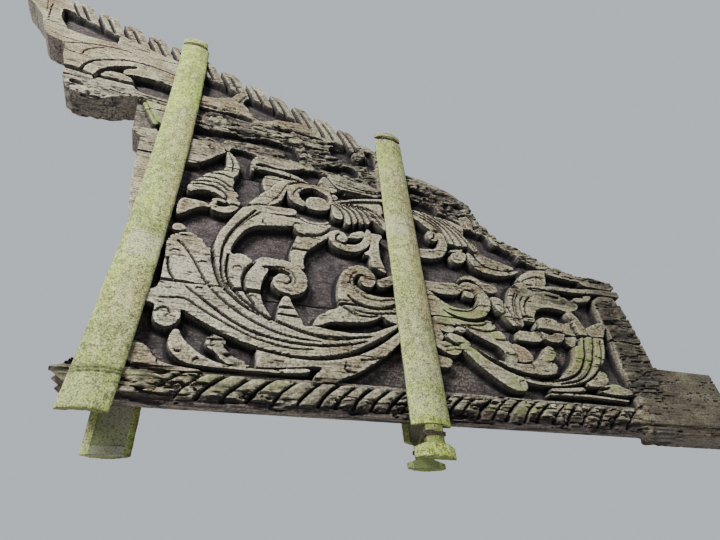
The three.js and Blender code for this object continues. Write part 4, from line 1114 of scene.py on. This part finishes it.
def weatheredWood(name, look):
    material, tree, place = newFinish(name, look)
    across, along = 1000 / look["grainMm"], 1000 / look["grainLengthMm"]
    # spaces stretched along the plank: fine grain, wide streaks, drying checks
    fineSpace, wideSpace, checkSpace = (
        addNode(tree, "ShaderNodeMapping", {"Vector": place, "Scale": scale}).outputs[0]
        for scale in ((along, across * 0.5, across),
                      (along * 0.35, across * 0.1, across * 0.16),
                      (1000 / look["checkLengthMm"], 40.0, 1000 / look["checkMm"])))
    # space, scale, detail, roughness and distortion of each noise
    grain, streak, check, patch, blotch, mottle, grit = (
        addNode(tree, "ShaderNodeTexNoise", {"Vector": space, "Scale": scale, "Detail": detail,
                                             "Roughness": rough, "Distortion": bent}).outputs["Fac"]
        for space, scale, detail, rough, bent in (
            (fineSpace, 1.0, 4.0, 0.62, 0.0), (wideSpace, 1.0, 3.0, 0.55, 0.6),
            (checkSpace, 1.0, 2.0, 0.5, 0.3), (place, 9.0, 3.0, 0.6, 0.0),
            (place, 46.0, 4.0, 0.65, 0.0), (place, 150.0, 3.0, 0.7, 0.0),
            (place, 230.0, 2.0, 0.5, 0.0)))
    holes = addNode(tree, "ShaderNodeTexVoronoi", {"Vector": place, "Scale": 95.0,
                                                   "Randomness": 1.0}).outputs["Distance"]
    hollow, cavity, rot, paintedWallShade, mossy, pale, soilAndShade, flank = (
        addNode(tree, "ShaderNodeAttribute", attribute_name=key).outputs["Fac"]
        for key in ("hollow", "cavity", "rot", "paintedWallShade", "moss", "pale", "soilAndShade", "flank"))
    # a check is a thin dark crack along the grain: where a noise passes its middle value
    offMiddle = addNode(tree, "ShaderNodeMath", {0: check, 1: 0.5}, operation="SUBTRACT").outputs[0]
    offMiddle = addNode(tree, "ShaderNodeMath", {0: offMiddle}, operation="ABSOLUTE").outputs[0]

    top = painted(tree, look["top"], [
        (1.0, look["topWarm"], (patch, 0.42, 0.66)),
        (0.8, look["topGreen"], (blotch, 0.48, 0.68)),
        (0.6, look["ground"], (streak, 0.54, 0.72)),
        (1.0, look["paleTop"], (pale,))])
    below = painted(tree, look["ground"], [
        (1.0, look["groundPale"], (blotch, 0.42, 0.62)),
        (1.0, look["bare"], (patch, 0.5, 0.66), (mottle, 0.4, 0.6))])
    colour = painted(tree, top, [
        # the recesses take the ground's colour, partly the cut wood's own and partly painted shade
        (1.0, below, (hollow, 0.3, 0.62)),
        (0.8, look["flank"], (flank,)),
        (0.42, look["lichenAndHighlight"], (cavity, -0.8, -5.0)),  # painted highlight on raised edges and ridges
        (0.66, look["soilAndShade"], (mottle, 0.53, 0.4)),
        (0.4, look["lichenAndHighlight"], (mottle, 0.56, 0.7)),  # lichen
        (0.6, look["dark"], (grain, 0.48, 0.34)),
        (0.85, look["dark"], (offMiddle, 0.035, 0.008), (patch, 0.36, 0.56)),  # checks
        (0.75, look["dark"], (holes, 0.16, 0.04), (patch, 0.4, 0.6)),
        (1.0, look["moss"], (mossy,), (blotch, 0.36, 0.56)),
        (0.85, look["dark"], (cavity, 0.5, 5.5)),  # painted shade in the corners and creases
        # soil, with painted shade under the rail's lip, at the foot, on the root and beside the
        # culm
        (0.76, look["soilAndShade"], (soilAndShade,)),
        # painted shade, darkest in the deepest pockets
        (0.5, look["dark"], (hollow, 0.7, 1.0)),
        (0.55, look["dark"], (rot, 0.45, 0.9), (grain, 0.52, 0.38)),
        # painted shade on the carved walls and on the flanks that face down
        (0.86, look["dark"], (paintedWallShade,)),
        (0.7, look["dark"], (rot, 0.3, 0.9), (streak, 0.52, 0.38))])
    dress(tree, colour, [(grain, look["bump"], 0.0011), (grit, 0.35, 0.0007), (blotch, 0.5, 0.004)])
    return material


# Bamboo that has dried outdoors: pale olive skin with a waxy bloom, green algae in long streaks,
# dark specks, grime at the nodes, and a grey hollow that turns mossy. Painted shade darkens the
# strips' short sides and a painted highlight lightens the tip-side rims of the rear strips.
bambooLook = {
    "skin": "#949769", "bloomAndHighlight": "#bbbfa0", "algae": "#84974b", "lime": "#95aa45", "tan": "#a1866c",
    "grimeAndShade": "#2a261f", "speck": "#3a3528", "inside": "#95968a", "insideMoss": "#8a9468",
    "light": "#cacda0", "footMoss": "#566330",
    "surface": {"Roughness": 0.72, "Specular IOR Level": 0.35}}


def driedBamboo(name, look):
    material, tree, place = newFinish(name, look)
    # spaces stretched up the stem: streaks of the skin, and its fibres
    streakSpace, fibreSpace = (
        addNode(tree, "ShaderNodeMapping", {"Vector": place, "Scale": scale}).outputs[0]
        for scale in ((26.0, 26.0, 3.4), (420.0, 420.0, 9.0)))
    # space, scale, detail and roughness of each noise
    streak, fibre, patch, blotch, dots = (
        addNode(tree, "ShaderNodeTexNoise", {"Vector": space, "Scale": scale, "Detail": detail,
                                             "Roughness": rough}).outputs["Fac"]
        for space, scale, detail, rough in (
            (streakSpace, 1.0, 5.0, 0.62), (fibreSpace, 1.0, 2.0, 0.5), (place, 7.5, 4.0, 0.6),
            (place, 60.0, 5.0, 0.68), (place, 240.0, 3.0, 0.75)))
    speck = addNode(tree, "ShaderNodeTexVoronoi", {"Vector": place, "Scale": 150.0,
                                                   "Randomness": 1.0}).outputs["Distance"]
    inside, grimeAndShade, mossy, bloomAndHighlight, tan = (
        addNode(tree, "ShaderNodeAttribute", attribute_name=key).outputs["Fac"]
        for key in ("inside", "grimeAndShade", "moss", "bloomAndHighlight", "tan"))

    green = painted(tree, look["algae"], [(1.0, look["lime"], (patch, 0.42, 0.62))])
    skin = painted(tree, look["skin"], [
        (0.5, look["bloomAndHighlight"], (streak, 0.46, 0.64)),
        (0.4, look["light"], (patch, 0.52, 0.64)),
        (0.6, look["algae"], (patch, 0.48, 0.36)),
        (1.0, look["tan"], (tan,), (streak, 0.72, 0.4)),
        (1.0, green, (mossy,), (blotch, 0.22, 0.5)),
        # bloom, with a painted highlight on the rear strips' tip-side rims
        (1.0, look["bloomAndHighlight"], (bloomAndHighlight,), (blotch, 0.4, 0.56)),
        (0.5, look["speck"], (blotch, 0.48, 0.6)),
        (0.75, look["speck"], (dots, 0.5, 0.6)),
        (0.5, look["light"], (dots, 0.46, 0.36)),
        (0.4, look["light"], (blotch, 0.45, 0.34)),
        (0.9, look["grimeAndShade"], (speck, 0.2, 0.06), (blotch, 0.38, 0.54)),
        # grime, with painted shade on the strips' short sides
        (0.8, look["grimeAndShade"], (grimeAndShade,))])
    hollow = painted(tree, look["inside"], [
        (1.0, look["insideMoss"], (patch, 0.45, 0.68)),
        (0.9, look["footMoss"], (mossy,)),
        (0.7, look["speck"], (dots, 0.5, 0.62))])
    colour = painted(tree, skin, [(1.0, hollow, (inside,))])
    dress(tree, colour, [(fibre, 0.3, 0.0005), (blotch, 0.45, 0.0012)])
    return material


# Annealed iron tie wire, rusted brown-black, dull
wireLook = {"metal": "#5a544c", "rust": "#3d2f28", "surface": {"Roughness": 0.7, "Metallic": 0.6}}


def rustedWire(name, look):
    material, tree, place = newFinish(name, look)
    spots = addNode(tree, "ShaderNodeTexNoise",
                    {"Vector": place, "Scale": 120.0, "Detail": 4.0}).outputs["Fac"]
    ramp = addNode(tree, "ShaderNodeValToRGB", {"Fac": spots})
    clean, rusted = ramp.color_ramp.elements
    clean.position, rusted.position = 0.4, 0.62
    clean.color, rusted.color = linear(look["metal"]), linear(look["rust"])
    dress(tree, ramp.outputs["Color"], [(spots, 0.5, 0.0003)])
    return material


woodMaterial = weatheredWood("bare weathered hardwood", woodLooks["weathered"])
rottedMaterial = weatheredWood("rotted hardwood", woodLooks["rotted"])
bambooMaterial = driedBamboo("dried bamboo", bambooLook)
wireMaterial = rustedWire("rusted iron tie wire", wireLook)

seenOutline, farOutline = boardOutline(-1), boardOutline(1)
print(f"board outline: {len(seenOutline)} points")
for node, slotName in (("floor_beam", "weathered_wood"), ("middle_plank", "weathered_wood"),
                       ("upper_plank", "rotted_wood"), ("crest_plank", "weathered_wood")):
    finish = rottedMaterial if slotName == "rotted_wood" else woodMaterial
    plankHalf(f"{node}_seen_half", node, -1, board["seenSpacing"], seenOutline, finish)
    plankHalf(f"{node}_far_half", node, 1, board["farSpacing"], farOutline, finish)

# Split culms are wide strips of a thick bamboo stem. bulge is how far one stands out of the
# planks, bow how far it bends, rings how strong each node is. A neck runs from and to a height and
# keeps a half width towards the tip and towards the root; top gives those of the end above it.
# Below solid there is no hollow.
culmShape = {"side": 8, "wall": 17, "swell": 1.1, "groove": 4, "septumHalf": 4, "step": 7.0,
             "arc": 40, "innerArc": 24, "fray": 1.6, "bowHeight": 760, "bowReach": 900,
             "lashing": (49, 58), "crack": 112, "endRound": 1.6, "sawTilt": 1.6, "cornerRound": 3.2,
             "sharpAngle": 40}
culms = [
    {"node": "front_left_culm", "side": -1, "u": 104, "lean": 0.018, "low": -42, "high": 1672,
     "half": 56, "bulge": 22, "bow": 25, "nodes": [490, 1095], "rings": [1.0, 0.9],
     "necks": [(1612, 1634, 44, 41)], "top": (54, 46), "solid": -200,
     "lashed": True, "green": True},
    {"node": "back_left_culm", "side": 1, "u": 150, "lean": -0.006, "low": -96, "high": 1672,
     "half": 56, "bulge": 28, "bow": 0, "nodes": [-78, 520, 1120], "rings": [1.0, 1.0, 1.0],
     "necks": [(1612, 1634, 44, 41)], "top": None, "solid": -78,
     "lashed": False, "green": True},
    {"node": "front_middle_culm", "side": -1, "u": 941, "lean": 0.0228, "low": -116, "high": 1293,
     "half": 60, "bulge": 28, "bow": 0, "nodes": [-15, 104, 724], "rings": [0.5, 0.4, 1.1],
     "necks": [(1240, 1268, 28, 34), (-77, -29, 25, 27)], "top": None, "solid": -15,
     "lashed": False, "green": False},
    {"node": "back_middle_culm", "side": 1, "u": 967, "lean": 0.0, "low": -102, "high": 1293,
     "half": 60, "bulge": 28, "bow": 0, "nodes": [-50, 540, 1140], "rings": [1.0, 1.0, 1.0],
     "necks": [(1240, 1268, 28, 34), (-77, -29, 25, 27)], "top": None, "solid": -50,
     "lashed": False, "green": False},
]


def circleOf(culm):
    # the stem's radius and how far its axis lies behind the planks' face
    sag = culm["bulge"] - culmShape["side"]
    radius = (culm["half"] ** 2 + sag ** 2) / (2 * sag)
    return radius, radius - culm["bulge"]


def bowOf(culm, height):
    # a stem that isn't straight bends towards the root at mid height
    return culm["bow"] * (0.48 - ((height - culmShape["bowHeight"]) / culmShape["bowReach"]) ** 2)


def culmRows(culm):
    # heights of the rings: even steps, with more of them at ends, nodes, lashing and necks
    nearEnd, nearNeck = np.array([0, 1.5, 4]), np.array([-3, -1.2, -0.6, 0, 0.6, 1.2, 3])
    rows = [np.arange(culm["low"], culm["high"], culmShape["step"]),
            culm["low"] + nearEnd, culm["high"] - nearEnd]
    for node in culm["nodes"]:
        rows += [node + np.arange(-13, 16, 1.4), node + np.array([-4.2, -3.8, 3.8, 4.2])]
    if culm["lashed"]:
        rows += [np.arange(38, 72, 1.5), np.arange(104, 124, 1.3)]
    for low, high, _, _ in culm["necks"]:
        rows += [low + nearNeck, high + nearNeck]
    rows = np.unique(np.concatenate(rows))
    rows = rows[(rows >= culm["low"]) & (rows <= culm["high"])]
    return rows[np.concatenate([[True], np.diff(rows) > 0.2])]


def culmSides(culm, z):
    # half widths towards the tip and towards the root, frayed, and where a neck is cut
    half = culm["half"]
    left, right, grooved = half + 0 * z, half + 0 * z, 0 * z
    narrow = [neck + (1,) for neck in culm["necks"]]
    if culm["top"]:
        narrow.append((culm["necks"][0][1], culm["high"] + 20) + culm["top"] + (0,))
    for low, high, towardsTip, towardsRoot, groove in narrow:
        # the knob under a foot neck has round shoulders
        shoulder = 9 if low < 0 else 0.7
        cut = ease(low - shoulder, low + 0.7, z) * ease(high + 0.7, high - 0.7, z)
        left = np.minimum(left, half + (towardsTip - half) * cut)
        right = np.minimum(right, half + (towardsRoot - half) * cut)
        grooved = np.maximum(grooved, groove * cut)
    fray = culmShape["fray"] * (1 - grooved)
    left = left - 0.4 - fray * np.abs(drift(0, z, 50, 34, 75))
    left = left - 0.8 * (drift(0, z, 50, 9, 76) > 0.7)
    right = right - 0.4 - fray * np.abs(drift(0, z, 50, 41, 77))
    right = right - 0.8 * (drift(0, z, 50, 8, 78) > 0.7)
    return left, right, grooved


def culmSkin(culm, x, z, toEdge, grooved):
    # outer arc: height over the face = root of (radius squared less x squared) less the axis'
    # distance, with a swelling and scars at the nodes
    radius, axis = circleOf(culm)
    swell, scar = np.zeros(z.shape), np.zeros(z.shape)
    for node, ring in zip(culm["nodes"], culm["rings"]):
        wave = node + 2.5 * drift(x, node, 40, 50, 85)
        swell = swell + ring * culmShape["swell"] * np.exp(-((z - wave - 4) / 7.0) ** 2)
        lines = np.exp(-((z - wave) / 1.8) ** 2) + 0.5 * np.exp(-((z - wave - 9) / 1.5) ** 2)
        scar = scar + ring * lines
    scar = np.clip(scar * (0.75 + 0.5 * drift(x, z, 30, 60, 86)), 0, 1)
    if culm["lashed"]:
        # a short crack across the skin and two dark fibres round the foot
        crack = np.exp(-((z - culmShape["crack"] - 2 * drift(x, 0, 9, 9, 89)) / 2.2) ** 2)
        crack = crack * ease(-50, -42, x) * ease(8, -8, x)
        fibres = ease(43, 46, z - 0.05 * x) * ease(65, 61, z - 0.05 * x)
        fibres = fibres * (0.9 + 0.25 * np.sin(z / 1.2 + x / 5))
        scar = np.clip(scar + 1.2 * crack + fibres, 0, 1)
    outer = np.sqrt((radius - 0.6) ** 2 - x ** 2) - axis
    outer = outer + swell - 0.9 * scar - culmShape["groove"] * grooved
    if culm["lashed"]:
        # the fibres are the remains of a lashing and stand out of the skin
        (lower, upper), twist = culmShape["lashing"], 0.7 * np.sin(x / 3.1 + z / 1.9)
        outer = outer + (3.4 + twist) * np.exp(-((z - lower - 0.05 * x) / 3.4) ** 2)
        outer = outer + (3.0 - twist) * np.exp(-((z - upper - 0.05 * x) / 3.2) ** 2)
    outer = outer + 0.9 * drift(x, z, 60, 330, 71) + 0.4 * drift(x, z, 8, 90, 72)
    outer = outer + 0.3 * drift(x, z, 7, 12, 79)
    corner = 1 - ease(0, 1, np.sqrt(np.clip(toEdge / 7, 0, 1)))
    outer = outer - culmShape["cornerRound"] * corner
    ends = ease(5, 0, np.minimum(z - culm["low"], culm["high"] - z))
    return np.maximum(outer - culmShape["endRound"] * ends, 1.5), scar, ends


def culmHollow(culm, z, left, right):
    # inner arc: it sinks to the face at the walls across the nodes and where the culm is solid
    radius, axis = circleOf(culm)
    innerRadius = radius - culmShape["wall"]
    reach = math.sqrt(innerRadius ** 2 - axis ** 2) - 0.1
    opened = 1.0 * (z > culm["solid"])
    for node in culm["nodes"]:
        opened = opened * (np.abs(z - node) > culmShape["septumHalf"])
    left, right = np.minimum(reach, left - 0.8), np.minimum(reach, right - 0.8)
    back = np.linspace(0.95, 0.05, culmShape["innerArc"])
    innerX = -left + np.concatenate([[1, 0.99], back, [0.01, 0]])[None, :] * (left + right)
    return innerX, board["seamGap"] + opened * (np.sqrt(innerRadius ** 2 - innerX ** 2) - axis)


def greenSkin(x, z, patches):
    # moss at the foot, up the tip's side and over the upper node; bloom below nodes; a little tan
    moss = 0.42 + ease(1110, 1150, z) * 0.55 + 0.9 * ease(-5, -46, x + 14 * patches)
    moss = moss + 0.55 * ease(30, -20, x) * ease(500, 560, z) * ease(1000, 800, z)
    moss = moss + 0.6 * ease(130, 0, z)
    streaks = ease(0.1, 0.5, drift(x, z, 7, 300, 88))
    bloomAndHighlight = streaks * ease(1060, 1075, z) * ease(1140, 1120, z)
    bloomAndHighlight = bloomAndHighlight + 0.9 * ease(380, 430, z) * ease(500, 492, z) * ease(-46, -30, x)
    bloomAndHighlight = bloomAndHighlight + 0.3 * ease(60, 10, z) * ease(0.0, 0.3, patches)
    tan = 0.45 * ease(160, 230, z) * ease(420, 360, z) + 0.3 * ease(0, 50, x) * ease(560, 700, z)
    return moss, bloomAndHighlight, tan


def drySkin(x, z, patches):
    # moss only at the foot, the tip's side and near the top; bloom at the nodes; a tan side
    moss = 0.15 + 0.9 * ease(170, 0, z) + 0.55 * ease(1000, 1080, z) * ease(1240, 1180, z)
    moss = moss + 0.5 * ease(-10, -50, x + 12 * patches)
    bloomAndHighlight = 0.9 * ease(640, 690, z) * ease(790, 735, z) * ease(-0.4, 0.2, patches)
    bloomAndHighlight = bloomAndHighlight + 0.5 * ease(80, 100, z) * ease(180, 130, z)
    bloomAndHighlight = bloomAndHighlight + 0.7 * ease(90, 40, z) * ease(-20, 0, z) * ease(0.1, 0.4, patches)
    tan = 0.85 * ease(-20, 40, x) * ease(240, 420, z) * ease(1000, 860, z)
    tan = tan + 0.45 * ease(1290, 1200, z) * ease(1040, 1120, z)
    return moss, bloomAndHighlight, tan


def tubeMesh(name, points):
    # quads between successive rings of points, and a cap at both ends
    index = np.arange(points[..., 0].size).reshape(points.shape[:2])
    after = np.roll(index, -1, axis=1)
    quads = np.stack([index[:-1], after[:-1], after[1:], index[1:]], axis=-1).reshape(-1, 4)
    faces = quads.tolist() + [index[0].tolist(), index[-1].tolist()]
    mesh = bpy.data.meshes.new(name)
    mesh.from_pydata(points.reshape(-1, 3).tolist(), [], faces)
    build = bmesh.new()
    build.from_mesh(mesh)
    bmesh.ops.recalc_face_normals(build, faces=build.faces)
    build.to_mesh(mesh)
    build.free()
    return mesh


def makeCulm(culm):
    # each ring runs up one side, over the outer arc, down the other side and back over the inner
    z = culmRows(culm)[:, None]
    left, right, grooved = culmSides(culm, z)
    # places across the arc, closer together at its corners
    corner = np.array([0, 0.012, 0.03, 0.055, 0.085])
    across = np.linspace(0.12, 0.88, culmShape["arc"])
    across = np.concatenate([corner, across, 1 - corner[::-1]])[None, :]
    x = -left + across * (left + right)
    toEdge = np.minimum(across, 1 - across) * (left + right)
    outer, scar, ends = culmSkin(culm, x, z, toEdge, grooved)
    innerX, inner = culmHollow(culm, z, left, right)
    # the short upright sides: where a neck is cut through to the hollow they start at the hollow
    steps = np.array([0, 0.35, 0.7])[None, :]
    leftSide = inner[:, -1:] + steps * (outer[:, :1] - inner[:, -1:])
    rightSide = inner[:, :1] + steps[:, ::-1] * (outer[:, -1:] - inner[:, :1])

    def onRing(*parts):
        # a value or an array for each stretch: side, outer arc, other side, inner arc
        widths = (steps.size, x.shape[1], steps.size, innerX.shape[1])
        return np.concatenate([part + np.zeros((len(z), width))
                               for part, width in zip(parts, widths)], axis=1)

    ringX = onRing(x[:, :1], x, x[:, -1:], innerX)
    ringY = onRing(leftSide, outer, rightSide, inner)
    # the sawn ends aren't quite level
    bottom, top, tilt = z == culm["low"], z == culm["high"], culmShape["sawTilt"]
    height = z + (bottom * tilt - top * tilt) * (0.6 + 0.9 * drift(ringX, 0, 7, 5, 73))

    # colours from nothing to full; the sawn rims beside the hollow count as skin
    rims = np.zeros(inner.shape)
    rims[:, [0, -1]] = 1
    onSkin, sides = onRing(1, 1, 1, rims), onRing(1, 0, 1, 0)
    fork = 0.5 + 0.5 * drift(ringY * 3, height, 9, 110, 87)
    # grime at the nodes, the sawn ends and the necks; painted shade on the short upright sides
    # beside the planks
    grimeAndShade = 0.75 * onRing(scar[:, :1], scar, scar[:, -1:], 0) + 0.55 * ends + 0.6 * grooved
    grimeAndShade = np.clip(grimeAndShade + (0.6 + 0.3 * fork) * sides, 0, 1)
    patches = drift(ringX, height, 60, 140, 82)
    skinOf = greenSkin if culm["green"] else drySkin
    moss, bloomAndHighlight, tan = skinOf(ringX, height, patches)
    if culm["side"] > 0:
        # the rear culms show their hollow and their sawn rims, which are green towards the tip;
        # those tip-side rims also get a painted highlight, lighter and with less grime
        tipRim = ease(-30, -40, ringX)
        foot = 0.25 * ease(60, -40, height) if culm["green"] else ease(20, -50, height)
        moss = (moss * onSkin + tipRim + foot) * (1 - 0.6 * (1 - onSkin) * (foot < 0.3))
        grimeAndShade = grimeAndShade * (1 - 0.85 * tipRim)
        bloomAndHighlight = bloomAndHighlight + 0.3 * tipRim
    # a paler line along the edges of the arcs
    nearEdge = np.minimum(ringX + left, right - ringX)
    bloomAndHighlight = bloomAndHighlight + 0.5 * ease(6, 1, nearEdge) * (1 - sides)
    moss = np.clip(moss + 0.35 * patches * (moss > 0.05), 0, 1)

    # the stem leans in the plane of the planks
    cos, sin = math.cos(culm["lean"]), math.sin(culm["lean"])
    leanX = culm["u"] + bowOf(culm, height) + ringX * cos + height * sin
    depth = -ringY if culm["side"] < 0 else board["thickness"] + ringY
    mesh = tubeMesh(culm["node"] + "_skin", inFrame(leanX, height * cos - ringX * sin, depth))
    storeAll(mesh, {"inside": 1 - onSkin, "grimeAndShade": grimeAndShade * onSkin, "moss": moss,
                    "bloomAndHighlight": np.clip(bloomAndHighlight, 0, 1), "tan": tan})
    mesh.set_sharp_from_angle(angle=math.radians(culmShape["sharpAngle"]))
    piece = addPiece(culm["node"] + "_skin", mesh, bambooMaterial)
    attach(piece, "root")
    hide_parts(culm["node"])


for culm in culms:
    makeCulm(culm)
print("culms: 4 strips of bamboo")

# Turns of wire laid round the necks of a front and a back culm
tieShape = {"wire": 1.6, "turns": 3.1, "slack": 0.8, "pitch": 3.5,
            "section": 8, "stepsPerTurn": 110}
ties = [
    {"node": "left_top_tie", "front": 0, "back": 1, "neck": 0, "seed": 81},
    {"node": "middle_top_tie", "front": 2, "back": 3, "neck": 0, "seed": 82},
    {"node": "middle_foot_tie", "front": 2, "back": 3, "neck": 1, "seed": 83},
]


def tieLoop(tie, out):
    # the closed line in the level plane: over the front culm's neck, back through the gap beside
    # the planks, over the back culm's neck and forward again
    low, high, towardsTip, towardsRoot = culms[tie["front"]]["necks"][tie["neck"]]
    height = 0.5 * (low + high)
    reach = np.linspace(-(towardsTip + out), towardsRoot + out, 25)
    points = []
    for culm, order in ((culms[tie["front"]], 1), (culms[tie["back"]], -1)):
        radius, axis = circleOf(culm)
        x = reach[::order]
        rise = np.sqrt((radius - culmShape["groove"] + out) ** 2 - x ** 2) - axis
        face = 0 if culm["side"] < 0 else board["thickness"]
        u = culm["u"] + culm["lean"] * height + bowOf(culm, height) + x
        over = np.stack([u, face + culm["side"] * rise], axis=1)
        points += [[(u[0], face)], over, [(u[-1], face)]]
    return np.vstack(points), height


def makeTie(tie):
    # a helix laid along the closed line; the section is a circle carried along it
    shape = tieShape
    loop, height = tieLoop(tie, shape["slack"] + shape["wire"])
    closed = np.vstack([loop, loop[:1]])
    lengths = np.concatenate([[0], np.cumsum(np.hypot(*np.diff(closed, axis=0).T))])
    share = np.linspace(0, shape["turns"], int(shape["turns"] * shape["stepsPerTurn"]))
    at = (share % 1.0) * lengths[-1]
    u, depth = np.interp(at, lengths, closed[:, 0]), np.interp(at, lengths, closed[:, 1])
    v = height + (share - shape["turns"] / 2) * shape["pitch"]
    v = v + 0.5 * drift(share * 40, 0, 6, 3, tie["seed"])
    path = inFrame(u, v, depth)
    along = np.gradient(path, axis=0)
    along /= np.linalg.norm(along, axis=1)[:, None]
    sideways = np.cross(along, np.array([0, 0, 1.0]))
    sideways /= np.linalg.norm(sideways, axis=1)[:, None]
    lift = np.cross(sideways, along)
    spin = np.linspace(0, 2 * math.pi, shape["section"], endpoint=False)[None, :, None]
    section = sideways[:, None] * np.cos(spin) + lift[:, None] * np.sin(spin)
    mesh = tubeMesh(tie["node"] + "_wire", path[:, None] + section * shape["wire"] / 1000)
    piece = addPiece(tie["node"] + "_wire", mesh, wireMaterial)
    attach(piece, "root")
    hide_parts(tie["node"])


for tie in ties:
    makeTie(tie)
print("ties: 3 wraps of wire")

# Pale floor under the whole, soft light, and the camera at the photo's viewing angle.
# A lamp has a place, a size, a power and a colour; right, up and forward turn the camera.
studio = {
    "floorHeight": -1.35, "floorSize": 14.0, "floorAside": -1, "floor": "#c9c6c0",
    "world": "#ced5dc", "backdropStrength": 0.9, "skyStrength": 0.4, "target": (-1.1, 0, 0.5),
    "lamps": {"key_light": ((-3.9, -2.6, 1.9), 1.3, 350, "#fffaf4"),
              "fill_light": ((2.4, -4.2, 1.8), 3.0, 45, "#e8f0ff"),
              "rear_light": ((-1.5, 4.6, 2.6), 3.0, 150, "#fff8f0")},
    "lens": 24.67, "sensor": 36, "camera": (-1.8395, -1.204, -0.6605),
    "right": (0.9451, -0.3173, -0.0778), "up": (-0.1477, -0.6274, 0.765),
    "forward": (0.2916, 0.7111, 0.6393),
}


def makeFloor():
    half, aside, height = studio["floorSize"] / 2, studio["floorAside"], studio["floorHeight"]
    corners = [(aside - half, -half), (aside + half, -half),
               (aside + half, half), (aside - half, half)]
    mesh = bpy.data.meshes.new("studio_floor")
    mesh.from_pydata([corner + (height,) for corner in corners], [], [(0, 1, 2, 3)])
    paper = bpy.data.materials.new("matt studio paper")
    paper.use_nodes = True
    surface = paper.node_tree.nodes["Principled BSDF"]
    surface.inputs["Base Color"].default_value = linear(studio["floor"])
    surface.inputs["Roughness"].default_value = 0.9
    mesh.materials.append(paper)
    floor = bpy.data.objects.new("studio_floor", mesh)
    bpy.context.scene.collection.objects.link(floor)


makeFloor()
for name, (place, size, power, colour) in studio["lamps"].items():
    lamp = bpy.data.lights.new(name, "AREA")
    lamp.size, lamp.energy, lamp.color = size, power, linear(colour)[:3]
    holder = bpy.data.objects.new(name, lamp)
    holder.location = place
    aim = Vector(studio["target"]) - Vector(place)
    holder.rotation_euler = aim.to_track_quat("-Z", "Y").to_euler()
    bpy.context.scene.collection.objects.link(holder)

world = bpy.data.worlds.new("studio_world")
world.use_nodes = True
sky = world.node_tree.nodes["Background"]
sky.inputs["Color"].default_value = linear(studio["world"])
# the backdrop looks pale in the picture and lights the piece only softly
toCamera = addNode(world.node_tree, "ShaderNodeLightPath").outputs["Is Camera Ray"]
strength = addNode(world.node_tree, "ShaderNodeMapRange",
                   {"Value": toCamera, "To Min": studio["skyStrength"],
                    "To Max": studio["backdropStrength"]})
world.node_tree.links.new(strength.outputs["Result"], sky.inputs["Strength"])
bpy.context.scene.world = world

cameraData = bpy.data.cameras.new("photo_camera")
cameraData.lens, cameraData.sensor_width = studio["lens"], studio["sensor"]
cameraData.clip_start, cameraData.clip_end = 0.02, 60
camera = bpy.data.objects.new("photo_camera", cameraData)
right, up, forward = (Vector(studio[key]) for key in ("right", "up", "forward"))
turned = Matrix((right, up, -forward)).transposed().to_4x4()
camera.matrix_world = Matrix.Translation(studio["camera"]) @ turned
bpy.context.scene.collection.objects.link(camera)
bpy.context.scene.camera = camera
print("studio: floor, three soft lamps and the camera")
